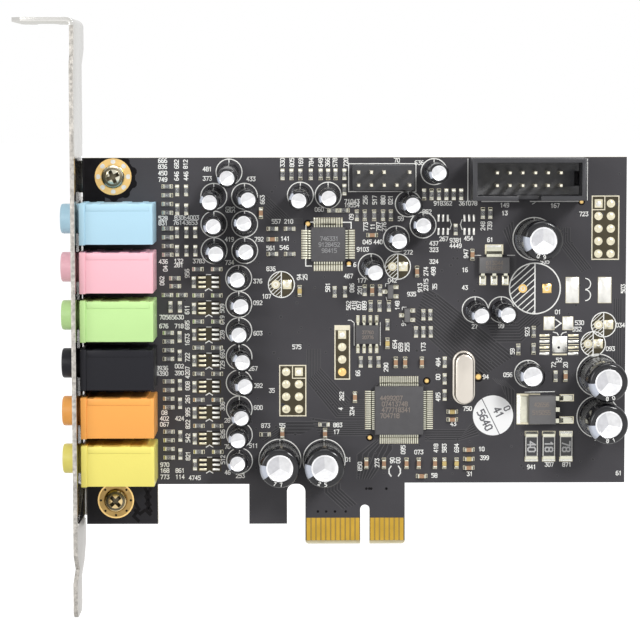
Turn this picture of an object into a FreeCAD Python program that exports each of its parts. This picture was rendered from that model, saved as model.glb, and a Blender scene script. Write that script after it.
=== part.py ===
import FreeCAD, Part
import math
import os
import re
import Sketcher

# A seven-channel sound card for a computer: a circuit board with an edge connector,
# a slotted steel bracket, six coloured jacks and the parts soldered between them.
# The origin is the middle of the key notch, at the lower edge of the connector tongue
# and halfway through the board. X runs along the board, away from the bracket, and Z
# runs up. The components stand on the face that looks towards -Y.

Vector = FreeCAD.Vector
doc = FreeCAD.newDocument("SoundCard")

# Driving sizes in millimetres: alias, value, meaning
driving_sizes = [
    ("board_thickness", 1.57, "laminate, copper and solder mask together"),
    ("board_left", 56.75, "from the key notch to the bracket end"),
    ("board_right", 52.95, "from the key notch to the far end"),
    ("board_top", 78.9, "from the tongue's lower edge to the top edge"),
    ("left_base", 12.4, "height of the lower edge left of the tongue"),
    ("right_base", 12.6, "height of the lower edge right of the tongue"),
    ("foot_height", 4.2, "height of the lower edges of the two feet"),
    ("bracket_foot_width", 14.5, "foot beside the bracket"),
    ("middle_foot_left", 23.6, "from the key notch to the middle foot"),
    ("middle_foot_width", 7.7, "middle foot"),
    ("tongue_left", 12.15, "from the key notch's middle to the tongue's left side"),
    ("tongue_right", 8.15, "from the key notch's middle to its right side"),
    ("tongue_corner_radius", 0.7, "tongue's lower corners"),
    ("tongue_bevel_height", 0.75, "lead-in bevel, along the height"),
    ("tongue_bevel_depth", 0.35, "lead-in bevel, into the thickness"),
    ("key_width", 1.9, "key notch"),
    ("key_height", 8.1, "key notch"),
    ("notch_corner_radius", 1.6, "round top of the slot beside the tongue"),
    ("contact_pitch", 1.0, "edge contacts, middle to middle"),
    ("contact_width", 0.7, "edge contact"),
    ("contact_height", 4.65, "edge contact"),
    ("contact_thickness", 0.05, "gold-plated copper"),
    ("first_contact", 11.5, "from the key notch to the outermost contact"),
    ("second_group", 1.5, "from the key notch to the contacts right of it"),
    ("bracket_gap", 0.55, "air between the board's end and the bracket"),
    ("bracket_thickness", 0.86, "sheet steel"),
    ("bracket_length", 120.02, "from the fold to the tongue's tip"),
    ("bracket_below", 13.27, "how far the bracket reaches below the connector"),
    ("bracket_reach", 14.8, "from the component face to the near edge"),
    ("bracket_width", 18.42, "blank"),
    ("head_setback", 1.6, "near edge of the head, behind the blank's near edge"),
    ("head_width", 21.59, "head, under the fold"),
    ("head_square_height", 6.0, "straight part of the head's far side"),
    ("head_height", 9.2, "head, down to where the blank has its full width"),
    ("bracket_tongue_width", 10.19, "lower tongue"),
    ("bracket_tongue_length", 10.1, "straight part of the lower tongue"),
    ("shoulder_height", 3.4, "sloping shoulders above the lower tongue"),
    ("tongue_joggle", 0.5, "how far the lower tongue is set out, away from the board"),
    ("joggle_height", 3.0, "length of that set"),
    ("tongue_tip_radius", 2.2, "round corners of the lower tongue's tip"),
    ("bend_radius", 0.6, "inside radius of the bends"),
    ("tab_length", 12.3, "folded tab, from the bracket's inner face"),
    ("tab_corner", 1.9, "cut corners of the tab"),
    ("slot_width", 4.42, "screw slot in the tab"),
    ("slot_depth", 5.0, "screw slot in the tab, with its round end"),
    ("slot_distance", 7.1, "from the inner face to the slot's middle"),
    ("ear_length", 10.0, "ear behind the board"),
    ("ear_height", 6.5, "ear behind the board"),
    ("ear_relief", 0.9, "cut beside each ear in the blank's far edge"),
    ("screw_distance", 6.48, "from the bracket's inner face to the screws"),
    ("screw_from_top", 3.8, "from the board's top edge down to the upper screw"),
    ("screw_from_foot", 4.9, "from the foot's lower edge up to the lower screw"),
    ("screw_radius", 1.45, "shank of the bracket screws"),
    ("board_hole_clearance", 0.15, "round the shanks in the board"),
    ("thread_clearance", 0.03, "round the shanks in the ears"),
    ("screw_head_radius", 2.4, "pan head"),
    ("screw_head_height", 1.7, "pan head"),
    ("screw_point", 1.2, "how far the shanks pass the ears"),
    ("first_jack_drop", 9.1, "from the upper screw down to the first jack's middle"),
    ("last_jack_rise", 8.6, "from the lower screw up to the last jack's middle"),
    ("jack_length", 14.6, "jack body, along the board"),
    ("jack_air", 1.36, "air between neighbouring jack bodies"),
    ("jack_height", 12.0, "jack body, off the board"),
    ("jack_gap", 0.53, "air between the jack bodies and the bracket"),
    ("collar_length", 1.2, "collar at the front of each jack body"),
    ("collar_step", 0.15, "how far the collar stands proud"),
    ("nose_rise", 0.93, "nose's axis above the middle of the body"),
    ("nose_height", 6.0, "nose's axis off the board"),
    ("nose_radius", 3.0, "nose of each jack"),
    ("nose_length", 4.05, "nose, from the front of the body"),
    ("bore_radius", 1.85, "bore for a 3.5 mm plug"),
    ("bore_depth", 15.5, "bore for a 3.5 mm plug"),
    ("hole_clearance", 0.25, "round the noses in the bracket"),
    ("spring_width", 1.1, "contact spring tails beside each jack"),
    ("spring_thickness", 0.3, "contact spring tails"),
    ("spring_height", 3.6, "contact spring tails"),
    ("spring_pitch", 2.2, "contact spring tails, middle to middle"),
    ("first_spring", 6.6, "from the jack's front to the first tail"),
    ("box_length", 22.7, "box header"),
    ("box_width", 8.5, "box header"),
    ("box_height", 9.0, "box header"),
    ("box_wall", 0.95, "box header walls"),
    ("box_floor", 2.5, "box header floor"),
    ("box_key_width", 4.5, "key slot in the lower wall"),
    ("box_key_depth", 6.0, "key slot, from the rim"),
    ("box_end_slot_width", 0.9, "slot through the floor at the right-hand end"),
    ("box_end_slot_height", 2.9, "slot through the floor at the right-hand end"),
    ("pin_pitch", 2.54, "header pins, middle to middle"),
    ("pin_width", 0.64, "square header pins"),
    ("box_pin_height", 7.6, "pin tips of the box header, off the board"),
    ("base_height", 2.5, "plain pin header's base"),
    ("base_chamfer", 0.3, "cut corners of the plain pin header's base"),
    ("base_pin_height", 8.5, "pin tips of the plain header, off the board"),
    ("crystal_length", 11.05, "flange of the crystal"),
    ("crystal_width", 4.65, "flange of the crystal"),
    ("crystal_flange", 0.5, "flange of the crystal"),
    ("crystal_height", 3.5, "crystal can, off the board"),
    ("crystal_step", 0.42, "from the flange's edge to the can's wall"),
    ("chip_standoff", 0.1, "air under the chips"),
    ("controller_side", 10.0, "large square chip"),
    ("controller_height", 1.5, "large square chip"),
    ("controller_pitch", 0.4, "its leads, middle to middle"),
    ("controller_lead_width", 0.2, "its leads"),
    ("codec_side", 7.0, "small square chip"),
    ("codec_height", 1.4, "small square chip"),
    ("codec_pitch", 0.5, "its leads, middle to middle"),
    ("codec_lead_width", 0.24, "its leads"),
    ("flat_lead_reach", 1.7, "leads of the square chips, past the body"),
    ("flat_lead_thickness", 0.15, "leads of the square chips"),
    ("memory_length", 4.9, "eight-lead chip"),
    ("memory_width", 3.9, "eight-lead chip"),
    ("memory_height", 1.5, "eight-lead chip"),
    ("memory_pitch", 1.27, "its leads, middle to middle"),
    ("wide_lead_reach", 1.5, "leads of the eight-lead chip, past the body"),
    ("wide_lead_width", 0.45, "leads of the eight-lead chip"),
    ("wide_lead_thickness", 0.22, "leads of the eight-lead chip"),
    ("chip_bevel", 0.25, "bevelled top edges of the chips"),
    ("regulator_length", 6.3, "small regulator"),
    ("regulator_width", 3.4, "small regulator"),
    ("regulator_height", 1.6, "small regulator"),
    ("regulator_pitch", 2.3, "its legs, middle to middle"),
    ("regulator_leg_width", 0.75, "its legs"),
    ("regulator_tab_width", 3.1, "its tab"),
    ("regulator_leg_reach", 1.9, "legs and tab, past the body"),
    ("power_length", 5.6, "power regulator's body, across the board"),
    ("power_width", 6.0, "power regulator's body, up the board"),
    ("power_height", 2.2, "power regulator"),
    ("power_tab_reach", 1.6, "its tab, past the body"),
    ("power_tab_thickness", 0.5, "its tab"),
    ("power_tab_width", 5.4, "its tab"),
    ("power_leg_pitch", 4.57, "its two legs, middle to middle"),
    ("power_leg_width", 0.9, "its legs"),
    ("power_leg_reach", 3.3, "its legs, past the body"),
    ("transistor_length", 2.9, "small transistors"),
    ("transistor_width", 1.3, "small transistors"),
    ("transistor_height", 1.0, "small transistors"),
    ("transistor_leg_reach", 0.65, "their legs, past the body"),
    ("transistor_leg_width", 0.42, "their legs"),
    ("transistor_pitch", 1.9, "their paired legs, middle to middle"),
    ("small_can_radius", 2.02, "small capacitors, sleeve and can together"),
    ("small_can_height", 7.0, "small capacitors, off the board when upright"),
    ("medium_can_radius", 2.52, "medium capacitor"),
    ("medium_can_height", 7.2, "medium capacitor"),
    ("large_can_radius", 4.0, "large capacitors"),
    ("large_can_height", 11.5, "large capacitors"),
    ("chip_part_length", 1.6, "chip resistors and ceramic capacitors"),
    ("chip_part_width", 0.8, "chip resistors and ceramic capacitors"),
    ("resistor_thickness", 0.45, "chip resistors"),
    ("ceramic_thickness", 0.75, "ceramic capacitors"),
    ("power_resistor_length", 5.3, "three large chip resistors"),
    ("power_resistor_width", 2.55, "three large chip resistors"),
    ("power_resistor_height", 0.6, "three large chip resistors"),
    ("sticker_radius", 4.1, "round paper sticker"),
    ("sticker_thickness", 0.08, "round paper sticker"),
]

sheet = doc.addObject("Spreadsheet::Sheet", "Sizes")
for row, (alias, number, meaning) in enumerate(driving_sizes, start=1):
    sheet.set("A%d" % row, meaning)
    sheet.set("B%d" % row, str(number))
    sheet.setAlias("B%d" % row, alias)
doc.recompute()
aliases = {alias for alias, number, meaning in driving_sizes}

# Places that several pieces share, as formulas of the driving sizes
component_face = "(-board_thickness / 2)"
solder_face = "(board_thickness / 2)"
bracket_inner = "(-board_left - bracket_gap)"
bracket_outer = "(-board_left - bracket_gap - bracket_thickness)"
bracket_top = "(bracket_length - bracket_below)"
near_edge = "(-board_thickness / 2 - bracket_reach)"
far_edge = "(bracket_width - board_thickness / 2 - bracket_reach)"
head_near = "(head_setback - board_thickness / 2 - bracket_reach)"
head_far = "(head_setback + head_width - board_thickness / 2 - bracket_reach)"
screw_across = "(screw_distance - board_left - bracket_gap)"
jack_front = "(jack_gap - board_left - bracket_gap)"
nose_axis = "(-board_thickness / 2 - nose_height)"
jack_names = ["blue", "pink", "green", "black", "orange", "yellow"]


def across(drawn):
    """A place along the board, typed for the real card, as a formula that stretches with the board."""
    if drawn < 0:
        return "(%s * -jack_rear / %s)" % (drawn, drawn_left)
    return "(%s * board_right / %s)" % (drawn, drawn_right)


def up(drawn):
    """A place up the board, in the same way."""
    drawn_span = drawn_top - drawn_base
    return "(right_base + (%s - %s) * (board_top - right_base) / %s)" % (drawn, drawn_base, drawn_span)


# The real card's edges, which the typed places were measured against
drawn_left = 42.17
drawn_right = 52.95
drawn_base = 12.6
drawn_top = 78.9

# Sizes that follow from the driving ones
worked_out = {
    "upper_screw_height": "(board_top - screw_from_top)",
    "lower_screw_height": "(foot_height + screw_from_foot)",
    "first_jack_height": "(upper_screw_height - first_jack_drop)",
    "jack_pitch": "((first_jack_height - lower_screw_height - last_jack_rise) / 5)",
    "jack_width": "(jack_pitch - jack_air)",
    "jack_rear": "(jack_gap + jack_length - board_left - bracket_gap)",
    "box_place_across": across(32.65),
    "box_place_up": up(74.65),
    "base_place_across": across(3.75),
    "base_place_up": up(74.8),
    "crystal_place_across": across(20.1),
    "crystal_place_up": up(34.2),
    "controller_place_across": across(6.95),
    "controller_place_up": up(27.55),
    "codec_place_across": across(-7.4),
    "codec_place_up": up(61.35),
    "memory_place_across": across(0.5),
    "memory_place_up": up(43.05),
    "regulator_place_across": across(26.2),
    "regulator_place_up": up(57.1),
    "power_place_across": across(36.0),
    "power_place_up": up(27.7),
    "power_resistor_up": up(20.05),
    "sticker_across": across(26.1),
    "sticker_up": up(26.4),
}


def bound(formula):
    """A formula with every alias written the way an expression needs it."""
    def spelled(word):
        name = word.group()
        if name in worked_out:
            return bound(worked_out[name])
        return "Sizes." + name if name in aliases else name
    return re.sub(r"[a-z_]+", spelled, formula)


def size(formula):
    """The number that a formula of driving sizes has now."""
    return float(sheet.evalExpression(bound(formula)))


def number_of(*formulas):
    return [size(formula) for formula in formulas]


def place(thing, corner):
    """Binds an object's position to three formulas."""
    for axis, formula in zip("xyz", corner):
        thing.setExpression("Placement.Base." + axis, bound(formula))


def box(name, corner, lengths):
    solid = doc.addObject("Part::Box", name)
    place(solid, corner)
    for side, formula in zip(("Length", "Width", "Height"), lengths):
        solid.setExpression(side, bound(formula))
    return solid


def cylinder(name, start, direction, radius, length):
    solid = doc.addObject("Part::Cylinder", name)
    solid.Placement = FreeCAD.Placement(Vector(), FreeCAD.Rotation(Vector(0, 0, 1), Vector(*direction)))
    place(solid, start)
    solid.setExpression("Radius", bound(radius))
    solid.setExpression("Height", bound(length))
    return solid


def joined(name, pieces):
    whole = doc.addObject("Part::MultiFuse", name)
    whole.Shapes = pieces
    whole.Refine = True
    return whole


def cut(name, base, tools):
    tool = tools[0] if len(tools) == 1 else joined(name + "Tools", tools)
    result = doc.addObject("Part::Cut", name)
    result.Base = base
    result.Tool = tool
    result.Refine = True
    return result


def blend_edges(kind, name, base, radius, wanted):
    """A Part::Fillet or Part::Chamfer of the edges whose middle passes the test."""
    doc.recompute()
    result = doc.addObject("Part::" + kind, name)
    result.Base = base
    amount = size(radius)
    result.Edges = [(number, amount, amount) for number in edge_numbers(base.Shape, wanted)]
    return result


def edge_numbers(shape, wanted):
    found = []
    for number, edge in enumerate(shape.Edges, start=1):
        middle = edge.valueAt((edge.FirstParameter + edge.LastParameter) / 2)
        if wanted(middle, edge):
            found.append(number)
    return found


def runs_along(edge, axis):
    return len(edge.Vertexes) == 2 and abs(abs(edge.tangentAt(edge.FirstParameter).dot(axis)) - 1) < 1e-6


def near(first, second):
    return abs(first - second) < 1e-4


def new_body(label):
    body = doc.addObject("PartDesign::Body", label)
    body.Label = label
    return body


def new_sketch(body, name, role, offset="0"):
    """A sketch on one of the body's origin planes, moved along the plane's normal."""
    sketch = body.newObject("Sketcher::SketchObject", name)
    plane = [feature for feature in body.Origin.OriginFeatures if feature.Role == role][0]
    sketch.AttachmentSupport = [(plane, "")]
    sketch.MapMode = "FlatFace"
    sketch.setExpression("AttachmentOffset.Base.z", bound(offset))
    return sketch


def pin_point(sketch, geometry, point, across, up):
    """Binds a point of a sketch to two formulas, measured from the sketch's origin."""
    for kind, formula in (("DistanceX", across), ("DistanceY", up)):
        number = sketch.addConstraint(Sketcher.Constraint(kind, -1, 1, geometry, point, size(formula)))
        sketch.setExpression("Constraints[%d]" % number, bound(formula))


def add_outline(sketch, points):
    """A closed run of straight lines through points given as pairs of formulas."""
    corners = [Vector(size(across), size(up), 0) for across, up in points]
    lines = []
    for index, corner in enumerate(corners):
        following = corners[(index + 1) % len(corners)]
        lines.append(sketch.addGeometry(Part.LineSegment(corner, following)))
    for index, line in enumerate(lines):
        following = lines[(index + 1) % len(lines)]
        sketch.addConstraint(Sketcher.Constraint("Coincident", line, 2, following, 1))
        pin_point(sketch, line, 1, *points[index])


def add_circle(sketch, across, up, radius):
    centre = Vector(size(across), size(up), 0)
    circle = sketch.addGeometry(Part.Circle(centre, Vector(0, 0, 1), size(radius)))
    pin_point(sketch, circle, 3, across, up)
    number = sketch.addConstraint(Sketcher.Constraint("Radius", circle, size(radius)))
    sketch.setExpression("Constraints[%d]" % number, bound(radius))


def pad(body, name, sketch, length, symmetric=False):
    feature = body.newObject("PartDesign::Pad", name)
    feature.Profile = sketch
    feature.SideType = "Symmetric" if symmetric else "One side"
    feature.setExpression("Length", bound(length))
    return feature


def pocket_through(body, name, sketch):
    """Cuts a sketch's outlines right through the body, both ways from the sketch."""
    volume = body.Shape.Volume if body.Tip else 0
    feature = body.newObject("PartDesign::Pocket", name)
    feature.Profile = sketch
    feature.SideType = "Symmetric"
    feature.Type = "ThroughAll"
    doc.recompute()
    if not feature.Shape.Volume < volume:
        raise RuntimeError(name + " cuts nothing")
    return feature


def dress(body, kind, name, radius, wanted):
    """A PartDesign fillet or chamfer on the edges of the body's tip that pass the test."""
    doc.recompute()
    base = body.Tip
    names = ["Edge%d" % number for number in edge_numbers(base.Shape, wanted)]
    if not names:
        raise RuntimeError(name + " finds no edge")
    feature = body.newObject("PartDesign::" + kind, name)
    feature.Base = (base, names)
    feature.setExpression("Radius" if kind == "Fillet" else "Size", bound(radius))
    doc.recompute()
    return feature


def group(label, solids):
    """One sub-part made of identical separate solids."""
    feature = doc.addObject("Part::Feature", label)
    feature.Label = label
    feature.Shape = Part.makeCompound(solids)
    return feature


def named(thing, label):
    thing.Label = label
    return thing


# Circuit board
board = new_body("circuit_board")
outline = new_sketch(board, "BoardOutline", "XZ_Plane")
add_outline(outline, [
    ("-board_left", "board_top"),
    ("-board_left", "foot_height"),
    ("bracket_foot_width - board_left", "foot_height"),
    ("bracket_foot_width - board_left", "left_base"),
    ("-middle_foot_left", "left_base"),
    ("-middle_foot_left", "foot_height"),
    ("middle_foot_width - middle_foot_left", "foot_height"),
    ("middle_foot_width - middle_foot_left", "left_base"),
    ("-tongue_left", "left_base"),
    ("-tongue_left", "0"),
    ("tongue_right", "0"),
    ("tongue_right", "right_base"),
    ("board_right", "right_base"),
    ("board_right", "board_top"),
])
pad(board, "BoardPad", outline, "board_thickness", symmetric=True)


def board_edge_at(across, up):
    def wanted(middle, edge):
        at_corner = near(middle.x, size(across)) and near(middle.z, size(up))
        return runs_along(edge, Vector(0, 1, 0)) and at_corner
    return wanted


slot_left = board_edge_at("middle_foot_width - middle_foot_left", "left_base")
slot_right = board_edge_at("-tongue_left", "left_base")
dress(board, "Fillet", "SlotTop", "notch_corner_radius",
      lambda middle, edge: slot_left(middle, edge) or slot_right(middle, edge))
tongue_corner_left = board_edge_at("-tongue_left", "0")
tongue_corner_right = board_edge_at("tongue_right", "0")
dress(board, "Fillet", "TongueCorners", "tongue_corner_radius",
      lambda middle, edge: tongue_corner_left(middle, edge) or tongue_corner_right(middle, edge))

key_sides = new_sketch(board, "KeySides", "XZ_Plane")
add_outline(key_sides, [
    ("-key_width / 2", "-key_width"),
    ("key_width / 2", "-key_width"),
    ("key_width / 2", "key_height - key_width / 2"),
    ("-key_width / 2", "key_height - key_width / 2"),
])
pocket_through(board, "KeyNotch", key_sides)
board_holes = new_sketch(board, "BoardHoles", "XZ_Plane")
add_circle(board_holes, "0", "key_height - key_width / 2", "key_width / 2")
add_circle(board_holes, screw_across, "upper_screw_height", "screw_radius + board_hole_clearance")
add_circle(board_holes, screw_across, "lower_screw_height", "screw_radius + board_hole_clearance")
pocket_through(board, "BoardHolesCut", board_holes)

bevels = new_sketch(board, "TongueBevels", "YZ_Plane")
for side in ("-", ""):
    add_outline(bevels, [
        (side + "board_thickness / 2", "tongue_bevel_height"),
        (side + "board_thickness / 2", "-tongue_bevel_height"),
        (side + "(board_thickness / 2 - 2 * tongue_bevel_depth)", "-tongue_bevel_height"),
    ])
pocket_through(board, "TongueBevelsCut", bevels)

# Edge contacts, on both faces of the tongue
first_run = [size("-first_contact") + index * size("contact_pitch") for index in range(11)]
second_run = [size("second_group") + index * size("contact_pitch") for index in range(7)]
contacts = []
for middle in first_run + second_run:
    for face in (size(component_face) - size("contact_thickness"), size(solder_face)):
        corner = Vector(middle - size("contact_width") / 2, face, size("tongue_bevel_height"))
        contacts.append(Part.makeBox(size("contact_width"), size("contact_thickness"), size("contact_height"),
                                     corner))
group("edge_contacts", contacts)

# Bracket: one sheet, folded at the top, set out at the bottom, with two ears behind the board
bracket = new_body("bracket")
shoulder_top = "(bracket_tongue_length + shoulder_height - bracket_below)"
joggle_top = "(bracket_tongue_length - bracket_below)"
profile = new_sketch(bracket, "BracketProfile", "XZ_Plane", "-" + head_far)
add_outline(profile, [
    (bracket_inner, bracket_top + " - bracket_thickness"),
    (bracket_inner, joggle_top),
    (bracket_inner + " - tongue_joggle", joggle_top + " - joggle_height"),
    (bracket_inner + " - tongue_joggle", "-bracket_below"),
    (bracket_outer + " - tongue_joggle", "-bracket_below"),
    (bracket_outer + " - tongue_joggle", joggle_top + " - joggle_height"),
    (bracket_outer, joggle_top),
    (bracket_outer, bracket_top + " - bracket_thickness"),
    (bracket_inner + " - tab_length", bracket_top + " - bracket_thickness"),
    (bracket_inner + " - tab_length", bracket_top),
    (bracket_inner, bracket_top),
])
pad(bracket, "BracketPad", profile, head_far + " - " + near_edge)


def fold_edge(middle, edge):
    outside = near(middle.x, size(bracket_inner)) and near(middle.z, size(bracket_top))
    return runs_along(edge, Vector(0, 1, 0)) and outside


def fold_inner_edge(middle, edge):
    under_tab = near(middle.z, size(bracket_top + " - bracket_thickness"))
    return runs_along(edge, Vector(0, 1, 0)) and under_tab and near(middle.x, size(bracket_outer))


dress(bracket, "Fillet", "FoldOutside", "bend_radius + bracket_thickness", fold_edge)
dress(bracket, "Fillet", "FoldInside", "bend_radius", fold_inner_edge)

tongue_near = "(" + near_edge + " + (bracket_width - bracket_tongue_width) / 2)"
tongue_far = "(" + far_edge + " - (bracket_width - bracket_tongue_width) / 2)"
blank_edges = new_sketch(bracket, "BlankEdges", "YZ_Plane")
add_outline(blank_edges, [
    (head_far, bracket_top + " - head_square_height"),
    (far_edge, bracket_top + " - head_height"),
    (far_edge, shoulder_top),
    (tongue_far, joggle_top),
    (tongue_far, "-2 * bracket_below"),
    (head_far + " + bracket_thickness", "-2 * bracket_below"),
    (head_far + " + bracket_thickness", bracket_top + " - head_square_height"),
])
add_outline(blank_edges, [
    (near_edge, shoulder_top),
    (near_edge + " - bracket_thickness", shoulder_top),
    (near_edge + " - bracket_thickness", "-2 * bracket_below"),
    (tongue_near, "-2 * bracket_below"),
    (tongue_near, joggle_top),
])
add_outline(blank_edges, [
    (near_edge, bracket_top + " - head_height"),
    (head_near, bracket_top + " - head_height + head_setback"),
    (head_near, bracket_top + " + bracket_thickness"),
    (near_edge + " - bracket_thickness", bracket_top + " + bracket_thickness"),
    (near_edge + " - bracket_thickness", bracket_top + " - head_height"),
])
pocket_through(bracket, "BlankEdgesCut", blank_edges)

openings = new_sketch(bracket, "BracketOpenings", "YZ_Plane")
for height in ("upper_screw_height", "lower_screw_height"):
    add_outline(openings, [
        (solder_face + " - bend_radius", height + " - ear_height / 2 - ear_relief"),
        (head_far, height + " - ear_height / 2 - ear_relief"),
        (head_far, height + " + ear_height / 2 + ear_relief"),
        (solder_face + " - bend_radius", height + " + ear_height / 2 + ear_relief"),
        (solder_face + " - bend_radius", height + " + ear_height / 2"),
        (solder_face + " + bracket_thickness", height + " + ear_height / 2"),
        (solder_face + " + bracket_thickness", height + " - ear_height / 2"),
        (solder_face + " - bend_radius", height + " - ear_height / 2"),
    ])
for index in range(len(jack_names)):
    add_circle(openings, nose_axis, "first_jack_height + nose_rise - %d * jack_pitch" % index,
               "nose_radius + hole_clearance")
pocket_through(bracket, "BracketOpeningsCut", openings)

tab_cuts = new_sketch(bracket, "TabCuts", "XY_Plane")
tab_end = "(" + bracket_inner + " - tab_length)"
slot_middle = "(" + bracket_inner + " - slot_distance)"
add_outline(tab_cuts, [
    (slot_middle + " - slot_width / 2", head_far + " - slot_depth + slot_width / 2"),
    (slot_middle + " + slot_width / 2", head_far + " - slot_depth + slot_width / 2"),
    (slot_middle + " + slot_width / 2", head_far + " + bracket_thickness"),
    (slot_middle + " - slot_width / 2", head_far + " + bracket_thickness"),
])
for corner, inward in ((head_near, " + "), (head_far, " - ")):
    outward = " - " if inward == " + " else " + "
    add_outline(tab_cuts, [
        (tab_end + " + tab_corner + bracket_thickness", corner + outward + "bracket_thickness"),
        (tab_end + " - bracket_thickness", corner + outward + "bracket_thickness"),
        (tab_end + " - bracket_thickness", corner + inward + "(tab_corner + bracket_thickness)"),
    ])
pocket_through(bracket, "TabCutsCut", tab_cuts)
slot_end = new_sketch(bracket, "SlotEnd", "XY_Plane")
add_circle(slot_end, slot_middle, head_far + " - slot_depth + slot_width / 2", "slot_width / 2")
pocket_through(bracket, "SlotEndCut", slot_end)

for label, height in (("Upper", "upper_screw_height"), ("Lower", "lower_screw_height")):
    ear = new_sketch(bracket, label + "Ear", "XY_Plane", height + " - ear_height / 2")
    add_outline(ear, [
        (bracket_outer, solder_face),
        (bracket_inner + " + ear_length", solder_face),
        (bracket_inner + " + ear_length", solder_face + " + bracket_thickness"),
        (bracket_outer, solder_face + " + bracket_thickness"),
    ])
    pad(bracket, label + "EarPad", ear, "ear_height")


def ear_fold_edge(middle, edge):
    behind_ear = near(middle.y, size(solder_face + " + bracket_thickness"))
    corner = behind_ear and near(middle.x, size(bracket_outer))
    screws = number_of("upper_screw_height", "lower_screw_height")
    return runs_along(edge, Vector(0, 0, 1)) and corner and any(near(middle.z, height) for height in screws)


def tongue_tip_edge(middle, edge):
    corner = near(middle.y, size(tongue_near)) or near(middle.y, size(tongue_far))
    return runs_along(edge, Vector(1, 0, 0)) and corner and near(middle.z, -size("bracket_below"))


dress(bracket, "Fillet", "EarFolds", "bracket_thickness", ear_fold_edge)
dress(bracket, "Fillet", "TongueTip", "tongue_tip_radius", tongue_tip_edge)
ear_holes = new_sketch(bracket, "EarHoles", "XZ_Plane")
add_circle(ear_holes, screw_across, "upper_screw_height", "screw_radius + thread_clearance")
add_circle(ear_holes, screw_across, "lower_screw_height", "screw_radius + thread_clearance")
pocket_through(bracket, "EarHolesCut", ear_holes)

# Bracket screws: a pan head on the board, and a shank through the ear
head_top = "(" + component_face + " - screw_head_height)"
shank_end = "(" + solder_face + " + bracket_thickness + screw_point)"
for side in ("upper", "lower"):
    label = side + "_bracket_screw"
    height = side + "_screw_height"
    screw = new_body(label)
    half = new_sketch(screw, label + "Profile", "XY_Plane", height)
    half.setExpression("AttachmentOffset.Base.x", bound(screw_across))
    add_outline(half, [
        ("0", head_top),
        ("0", shank_end),
        ("screw_radius", shank_end),
        ("screw_radius", component_face),
        ("screw_head_radius", component_face),
        ("screw_head_radius", head_top),
    ])
    turned = screw.newObject("PartDesign::Revolution", label + "Turned")
    turned.Profile = half
    turned.ReferenceAxis = (half, ["V_Axis"])
    turned.Angle = 360

# Jacks: one moulding each, with a collar at the front and a nose with its bore
for index, colour in enumerate(jack_names):
    middle = "(first_jack_height - %d * jack_pitch)" % index
    axis = "(first_jack_height + nose_rise - %d * jack_pitch)" % index
    name = colour.capitalize()
    collar = box(name + "Collar",
                 (jack_front, component_face + " - jack_height", middle + " - jack_width / 2"),
                 ("collar_length", "jack_height", "jack_width"))
    housing = box(name + "Housing",
                  (jack_front + " + collar_length", component_face + " - jack_height + collar_step",
                   middle + " - jack_width / 2 + collar_step"),
                  ("jack_length - collar_length", "jack_height - collar_step",
                   "jack_width - 2 * collar_step"))
    nose = cylinder(name + "Nose", (jack_front, nose_axis, axis), (-1, 0, 0), "nose_radius", "nose_length")
    moulding = joined(name + "Moulding", [collar, housing, nose])
    bore = cylinder(name + "Bore", (jack_front + " - nose_length", nose_axis, axis), (1, 0, 0),
                    "bore_radius", "bore_depth")
    named(cut(name + "Hollow", moulding, [bore]), colour + "_jack")

# Contact spring tails: flat strips between the jacks, from the board up
springs = []
spring_sizes = number_of("spring_width", "spring_height", "spring_thickness")
for index in range(len(jack_names)):
    housing_side = "(first_jack_height - %d * jack_pitch - jack_width / 2 + collar_step)" % index
    low = size(housing_side + " - spring_thickness")
    for tail in range(3):
        along = size(jack_front + " + first_spring + %d * spring_pitch" % tail)
        corner = Vector(along, size(component_face + " - spring_height"), low)
        springs.append(Part.makeBox(*spring_sizes, corner))
group("jack_springs", springs)

# Box header: an open shroud round two rows of pins, keyed in its lower wall
box_left = "(box_place_across - box_length / 2)"
box_low = "(box_place_up - box_width / 2)"
rim = "(" + component_face + " - box_height)"
shroud = box("Shroud", (box_left, rim, box_low), ("box_length", "box_height", "box_width"))
cavity = box("Cavity", (box_left + " + box_wall", rim + " - box_wall", box_low + " + box_wall"),
             ("box_length - 2 * box_wall", "box_height - box_floor + box_wall", "box_width - 2 * box_wall"))
key_slot = box("KeySlot",
               ("box_place_across - box_key_width / 2", rim + " - box_wall", box_low + " - box_wall"),
               ("box_key_width", "box_key_depth + box_wall", "3 * box_wall"))
end_slot = box("EndSlot",
               (box_left + " + box_length - box_wall - box_end_slot_width", rim,
                "box_place_up - box_end_slot_height / 2"),
               ("box_end_slot_width", "box_height", "box_end_slot_height"))
named(cut("BoxShroud", shroud, [cavity, key_slot, end_slot]), "box_header_shroud")


def pin_grid(columns, middle_across, middle_up, foot, tip, missing=()):
    """Square pins in two rows, from the foot's depth to the tip's."""
    pins = []
    width = size("pin_width")
    for column in range(columns):
        for row in range(2):
            if (column, row) in missing:
                continue
            left = middle_across + (column - (columns - 1) / 2) * size("pin_pitch") - width / 2
            low = middle_up + (row - 0.5) * size("pin_pitch") - width / 2
            pins.append(Part.makeBox(width, foot - tip, width, Vector(left, tip, low)))
    return pins


box_pins = pin_grid(6, size("box_place_across"), size("box_place_up"), size(component_face + " - box_floor"),
                    size(component_face + " - box_pin_height"))
group("box_header_pins", box_pins)

# Plain pin header: five pairs on one base, with one pin left out as a key
base_left = "(base_place_across - 2.5 * pin_pitch)"
base_low = "(base_place_up - pin_pitch)"
base = box("HeaderBase", (base_left, component_face + " - base_height", base_low),
           ("5 * pin_pitch", "base_height", "2 * pin_pitch"))
named(blend_edges("Chamfer", "HeaderBaseEdges", base, "base_chamfer",
                  lambda middle, edge: runs_along(edge, Vector(0, 1, 0))), "pin_header_base")
header_pins = pin_grid(5, size("base_place_across"), size("base_place_up"),
                       size(component_face + " - base_height"), size(component_face + " - base_pin_height"),
                       missing=[(3, 1)])
group("pin_header_pins", header_pins)


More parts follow.
